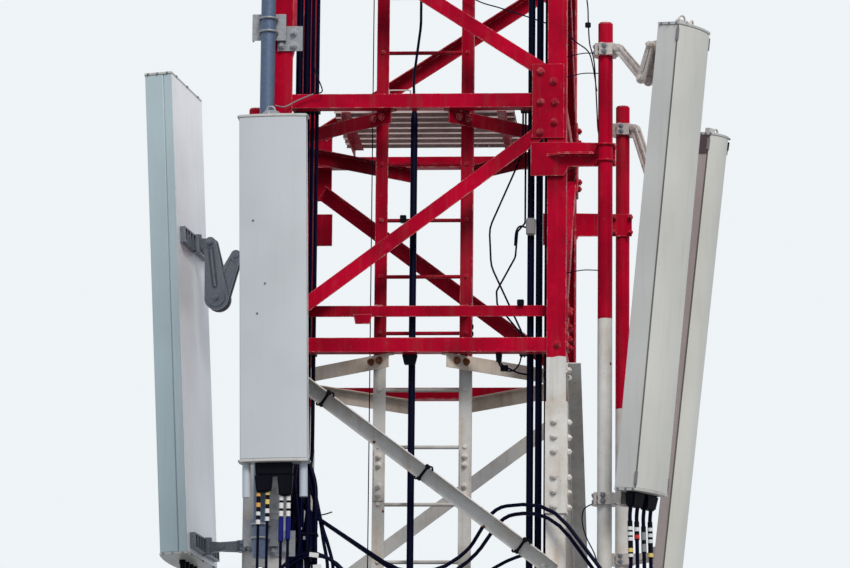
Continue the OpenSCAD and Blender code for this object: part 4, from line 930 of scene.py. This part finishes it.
class Panel:
    """A panel's own frame: X across, Y out of its front, Z up, from the middle of its lower back."""

    def __init__(self, name, facing, tilt, lean=0.0):
        facing, tilt, lean = (math.radians(a) for a in (facing, tilt, lean))
        self.turn = (Matrix.Rotation(facing - math.pi / 2, 3, "Z") @ Matrix.Rotation(-tilt, 3, "X")
                     @ Matrix.Rotation(lean, 3, "Y"))
        corners = [self.turn.transposed() @ v.co for part in ("tray", "radome")
                   for v in nodes[name + "_panel_" + part].data.vertices]
        low = [min(c[k] for c in corners) for k in range(3)]
        high = [max(c[k] for c in corners) for k in range(3)]
        self.width, self.depth, self.length = (high[k] - low[k] for k in range(3))
        self.head = self.length + CAP_H
        self.origin = self.turn @ Vector(((low[0] + high[0]) / 2, low[1], low[2]))

    def at(self, x, y, z):
        return self.origin + self.turn @ Vector((x, y, z))

    def way(self, x, y, z):
        return self.turn @ Vector((x, y, z))

    def box(self, x, y, z, size, taper=1.0):
        return box(self.at(x, y, z), size, taper, self.turn)


PANELS = {"left": Panel("left", 172.7, 3), "front": Panel("front", -90, 0, 1.05),
          "right": Panel("right", -33, 6.35), "rear": Panel("rear", -34, 7.4)}
GROOVE_Y = {"right": 0.124, "rear": 0.068}


def bar_centre(node, height, near, reach):
    """Centre of the bar of a CAD node that a level plane cuts near a place."""
    mesh = nodes[node].data
    spots = np.empty(len(mesh.vertices) * 3)
    mesh.vertices.foreach_get("co", spots)
    order = np.empty(len(mesh.loops), int)
    mesh.loops.foreach_get("vertex_index", order)
    corners = spots.reshape(-1, 3)[order].reshape(-1, 3, 3)
    cuts = []
    for a, b in ((0, 1), (1, 2), (2, 0)):
        above, below = corners[:, a, 2] - height, corners[:, b, 2] - height
        hit = above * below < 0
        share = (above[hit] / (above[hit] - below[hit]))[:, None]
        cuts.append(corners[hit, a] + share * (corners[hit, b] - corners[hit, a]))
    cuts = np.vstack(cuts)[:, :2]
    close = cuts[np.hypot(*(cuts - near).T) < reach]
    middle = (close.min(0) + close.max(0)) / 2
    return Vector((middle[0], middle[1], height))


def cap_screws():
    screws = []
    for panel in PANELS.values():
        half = panel.width / 2 + CAP_LIP
        for z in (-CAP_H / 2, panel.length + CAP_H / 2):
            screws += [(panel.at(side * half, y * panel.depth * 0.9, z), panel.way(side, 0, 0))
                       for y in (0.16, 0.5, 0.82) for side in (-1, 1)]
            screws += [(panel.at(x * panel.width, 0, z), panel.way(0, -1, 0))
                       for x in (-0.36, 0.0, 0.36)]
    bolts("cap_screws", screws, "cast_zinc", "galvanised_steel", (0.009, 0.003, 0.005, 0.001))


def groove_trim():
    """Gaskets in the grooves between radome and tray, and clips that hold the two together."""
    gaskets, clips = [], []
    for name, groove in GROOVE_Y.items():
        panel = PANELS[name]
        half, length = panel.width / 2, panel.length
        for side in (-1, 1):
            gaskets.append(panel.box(side * (half - 0.0012), groove + 0.0025, length / 2,
                                     (0.005, 0.0095, length - 0.002)))
            clips += [panel.box(side * (half + 0.002), groove + 0.003, z, (0.008, 0.018, 0.066))
                      for z in (0.05, length - 0.05)]
    blocks("groove_gaskets", gaskets, "gasket", 0.001)
    blocks("groove_clips", clips, "grey_wire", 0.002)


def panel_feet():
    """The dark end of the rear panel's tray, and dark mouldings over the connectors."""
    rear, groove = PANELS["rear"], GROOVE_Y["rear"]
    blocks("tray_end", [rear.box(rear.width / 2 + 0.0015, groove / 2, rear.length - 0.052,
                                 (0.004, groove - 0.004, 0.1))], "dark_cap", 0.001)
    # one moulding is shared, and the others are boots that narrow to the leads; each one reaches
    # from its top to its low end, both measured down from the cap
    boots = []
    for name, x, half, y, top, low, taper in (("front", 0.001, 0.097, 0.047, 0.0, 0.066, 0.96),
                                              ("front", 0.055, 0.046, 0.047, 0.058, 0.15, 0.8),
                                              ("front", -0.055, 0.04, 0.047, 0.058, 0.172, 0.8),
                                              ("right", 0.06, 0.054, 0.075, 0.0, 0.078, 0.8),
                                              ("right", -0.06, 0.054, 0.075, 0.0, 0.078, 0.8)):
        boots.append(PANELS[name].box(x, y, -CAP_H - (top + low) / 2, (2 * half, 0.062, low - top),
                                      taper))
    blocks("connector_boots", boots, "clip", 0.008)


def panel_heads():
    """Eye plate on the front panel, lifting rings on the right one, and latches on the caps."""
    front, right = PANELS["front"], PANELS["right"]
    blocks("head_plate", [front.box(0.012, 0.05, front.head + 0.003, (0.098, 0.04, 0.007)),
                          front.box(0.012, 0.062, front.head + 0.016, (0.062, 0.008, 0.024))],
           "zinc", 0.002)
    eye = ring_path(front.at(0.012, 0.062, front.head + 0.028), 0.02, front.way(1, 0, 0),
                    front.way(0, 0, 1))
    strands("head_eye", [eye], 0.006, "zinc", "galvanised_steel", ease=False)
    bolts("head_plate_bolts", [(front.at(x, 0.044, front.head + 0.0065), front.way(0, 0, 1))
                               for x in (-0.022, 0.046)], "zinc", "galvanised_steel",
          (0.019, 0.01, 0.012, 0.008))
    rings = [ring_path(right.at(x, 0.075, right.head + lift), radius, right.way(*across), right.way(*up))
             for x, lift, radius, across, up in ((0.045, 0.02, 0.03, (1, 0, 0), (0, 0.25, 0.97)),
                                                 (-0.05, 0.018, 0.026, (0.9, 0.3, 0), (0, 0.1, 0.99)))]
    strands("lifting_rings", rings, 0.005, "old_zinc", "galvanised_steel", sides=10, ease=False)
    latches = [PANELS[name].box(-PANELS[name].width / 2 - 0.003, y, PANELS[name].length - 0.035,
                                (0.01, 0.016, 0.05), 0.8) for name, y in (("right", 0.12), ("rear", 0.078))]
    blocks("cap_latches", latches, "clip", 0.003)


# Marker bands of each lead, from its connector down: where the lead is, then top, low end and colour
THREE_WHITE = [(4.339, 4.312, "white"), (4.3, 4.271, "white"), (4.258, 4.231, "white")]
BANDS = {
    "front_leads": [((-0.786, -0.999), [(4.35, 4.333, "amber"), (4.3, 4.278, "amber"),
                                        (4.254, 4.235, "white"), (4.213, 4.19, "white")]),
                    ((-0.74, -0.999), [(4.362, 4.34, "yellow"), (4.317, 4.293, "yellow"),
                                       (4.27, 4.247, "white"), (4.228, 4.207, "white")]),
                    ((-0.669, -0.999), [*THREE_WHITE, (4.226, 4.105, "blue")]),
                    ((-0.633, -0.999), [*THREE_WHITE, (4.226, 4.115, "blue")])],
    "crossing_leads": [((1.104, -1.02), [(4.175, 4.157, "white"), (4.148, 4.13, "white"),
                                         (4.121, 4.103, "white"), (4.065, 4.045, "yellow"),
                                         (4.036, 4.02, "white")]),
                       ((1.137, -0.97), [(4.178, 4.158, "white"), (4.14, 4.12, "red")])],
    "right_leads": [((1.169, -0.92), [(4.16, 4.12, "grey"), (4.1, 4.06, "grey")]),
                    ((1.202, -0.87), [(4.19, 4.172, "white"), (4.16, 4.142, "white"),
                                      (4.13, 4.112, "white"), (4.06, 4.04, "yellow")])]}
LEAD_RADIUS = {"front_leads": 0.0075, "crossing_leads": 0.01, "right_leads": 0.01}
# How far bands and sleeves stand out from the lead
BAND_T = {"band_blue": 0.0055, "clip": 0.003}


def lead_bands():
    """Marker bands on the leads, over a dark sleeve that follows each lead."""
    paths = {}
    for node, leads in BANDS.items():
        radius = LEAD_RADIUS[node]
        for near, marks in leads:
            def centres(heights):
                return [bar_centre(node, z, near, radius * 1.9) for z in heights]
            for top, low, colour in marks:
                paths.setdefault(("band_" + colour, radius), []).append(centres((top, low)))
            highest, lowest = marks[0][0] + 0.03, marks[-1][1] - 0.006
            sleeve = centres([highest + (lowest - highest) * n / 5 for n in range(6)])
            paths.setdefault(("clip", radius), []).append(sleeve)
    for (look, radius), ends in sorted(paths.items()):
        strands("%s_%d" % (look, round(radius * 2000)), ends, radius + BAND_T.get(look, 0.004), look,
                sides=16, ease=False)


cap_screws()
groove_trim()
panel_feet()
panel_heads()
lead_bands()


# Nuts on the pole clamps and arms, and at the feet
def clamp_nuts():
    """Nuts of the U-bolts that hold the poles' arms, and of the anchors."""
    rod_x, face_y = 0.0443, 0.7652
    for name, look, step, arms in (
            ("u_bolt_nuts", "bolt_paint", 0.042, (("front_right", (3.48, 6.15)),
                                                  ("rear_right", (3.48, 6.103)),
                                                  ("rear_left", (3.48, 6.103)))),
            ("u_bolt_nuts_zinc", "cast_zinc", 0.035, (("front_left", (4.175, 6.832)),))):
        made = []
        for pole, heights in arms:
            pole_x, pole_y = POLES[pole]
            way = -1 if pole_y > 0 else 1
            made += [((pole_x + side * rod_x, way * -face_y, z + lift), (0, way, 0))
                     for z in heights for lift in (-step, step) for side in (-1, 1)]
        bolts(name, made, look, "galvanised_steel", (0.02, 0.01, 0.012, 0.014))
    feet = [((sx * FOOT + dx, sy * FOOT + dy, FOOT_PLATE), UP) for sx in (-1, 1) for sy in (-1, 1)
            for dx in (-ANCHOR, ANCHOR) for dy in (-ANCHOR, ANCHOR)]
    bolts("anchor_nuts", feet, "zinc", "galvanised_steel", (0.036, 0.02, 0.024, 0.03))


# Each tilt bracket: pole, facing, heights of its two clamps, then its hub and its panel pin
# (distance out from the pole, height), radius of its hub's collars, and finish
TILT_BRACKETS = [
    ("rear_left", 172.7, (5.95, 4.334), (0.199, 5.712), (0.2395, 6.025), 0.048, "cast_zinc"),
    ("front_right", -33, (6.692, 4.343), (0.246, 6.505), (0.3018, 6.675), 0.02, "old_zinc"),
    ("rear_right", -34, (6.644, 4.26), (0.2, 6.33), (0.4414, 6.44), 0.02, "old_zinc")]
# Half the width over the arms, and where a clamp's rods come out of its jaws
ARMS_HALF, JAW_X, ROD_Y, ROD_Z = 0.041, 0.0201, 0.054, 0.0155


def clamp_rod_nuts():
    rods = []
    clamps = [(pole, facing, z) for pole, facing, heights, *_ in TILT_BRACKETS for z in heights]
    for pole, facing, z in clamps + [("front_left", -90, 4.64), ("front_left", -90, 6.22)]:
        turn = Matrix.Rotation(math.radians(facing), 3, "Z")
        middle = Vector((*POLES[pole], z))
        rods += [(middle + turn @ Vector((side * JAW_X, y, step)), turn @ Vector((side, 0, 0)))
                 for side in (-1, 1) for y in (-ROD_Y, ROD_Y) for step in (-ROD_Z, ROD_Z)]
    bolts("clamp_rod_nuts", rods, "cast_zinc", "galvanised_steel", (0.022, 0.011, 0.012, 0.006))


def arm_pins():
    """Ribs on the cast arms of each tilt bracket, and collars with nuts on their pins."""
    for number, (pole, facing, _, hub, pin, wide, look) in enumerate(TILT_BRACKETS, 1):
        turn = Matrix.Rotation(math.radians(facing), 3, "Z")
        ends = [[Vector((*POLES[pole], z)) + turn @ Vector((out, side * ARMS_HALF, 0))
                 for out, z in (hub, pin)] for side in (-1, 1)]
        strands("arm_ribs_%d" % number, [[low.lerp(top, 0.2), low.lerp(top, 0.86)] for low, top in ends],
                wide * 0.2 + 0.003, look, "galvanised_steel", sides=24, ease=False)
        ways = [turn @ Vector((0, side, 0)) for side in (-1, 1)]
        for end, (part, radius) in enumerate((("hub", wide), ("pin", 0.019))):
            name = "_%s_%d" % (part, number)
            faces = [(side_ends[end], way) for side_ends, way in zip(ends, ways)]
            collars = [[face - way * 0.004, face + way * 0.005] for face, way in faces]
            strands("collars" + name, collars, radius, look, "galvanised_steel", sides=32, ease=False)
            bolts("pin_nuts" + name, [(face + way * 0.005, way) for face, way in faces], look,
                  "galvanised_steel", (0.024, 0.012, 0.014, 0.006))


clamp_nuts()
clamp_rod_nuts()
arm_pins()


# Light and floor
def by_ray(tree, lighting, seen):
    """One colour for the rays that light the scene, and one for those that show it."""
    path = add(tree, "ShaderNodeLightPath").outputs
    other = maths(tree, "MAXIMUM", path["Is Glossy Ray"], path["Is Transmission Ray"])
    return mix_colour(tree, maths(tree, "MAXIMUM", path["Is Camera Ray"], other), lighting, seen)


def make_light():
    world = bpy.data.worlds.new("studio")
    scene.world = world
    world.use_nodes = True
    tree = world.node_tree
    tree.nodes.clear()
    sky = by_ray(tree, (0.64, 0.69, 0.765), (0.86, 0.9, 0.93))
    shade = add(tree, "ShaderNodeBackground", {"Color": sky, "Strength": 1.0})
    add(tree, "ShaderNodeOutputWorld", {0: shade.outputs[0]})
    lamp = bpy.data.lights.new("sun", "SUN")
    lamp.energy = 2.45
    lamp.angle = math.radians(20)
    lamp.color = (1.0, 0.955, 0.89)
    sun = bpy.data.objects.new("sun", lamp)
    sun.rotation_euler = Vector((-0.29, 0.71, -0.72)).to_track_quat("-Z", "Y").to_euler()
    scene.collection.objects.link(sun)


def make_floor():
    mesh = bpy.data.meshes.new("floor")
    reach = 60
    mesh.from_pydata([(-reach, -reach, 0), (reach, -reach, 0), (reach, reach, 0), (-reach, reach, 0)],
                     [], [(0, 1, 2, 3)])
    floor = mesh_object("floor", mesh)
    tree, shader, _ = start_material("floor")
    ground = by_ray(tree, (0.2, 0.2, 0.2), (0.74, 0.75, 0.76))
    put(tree, shader, {"Base Color": ground, "Roughness": 0.9})
    mesh.materials.append(LOOKS["floor"])


make_light()
make_floor()
scene.view_settings.view_transform = "Standard"
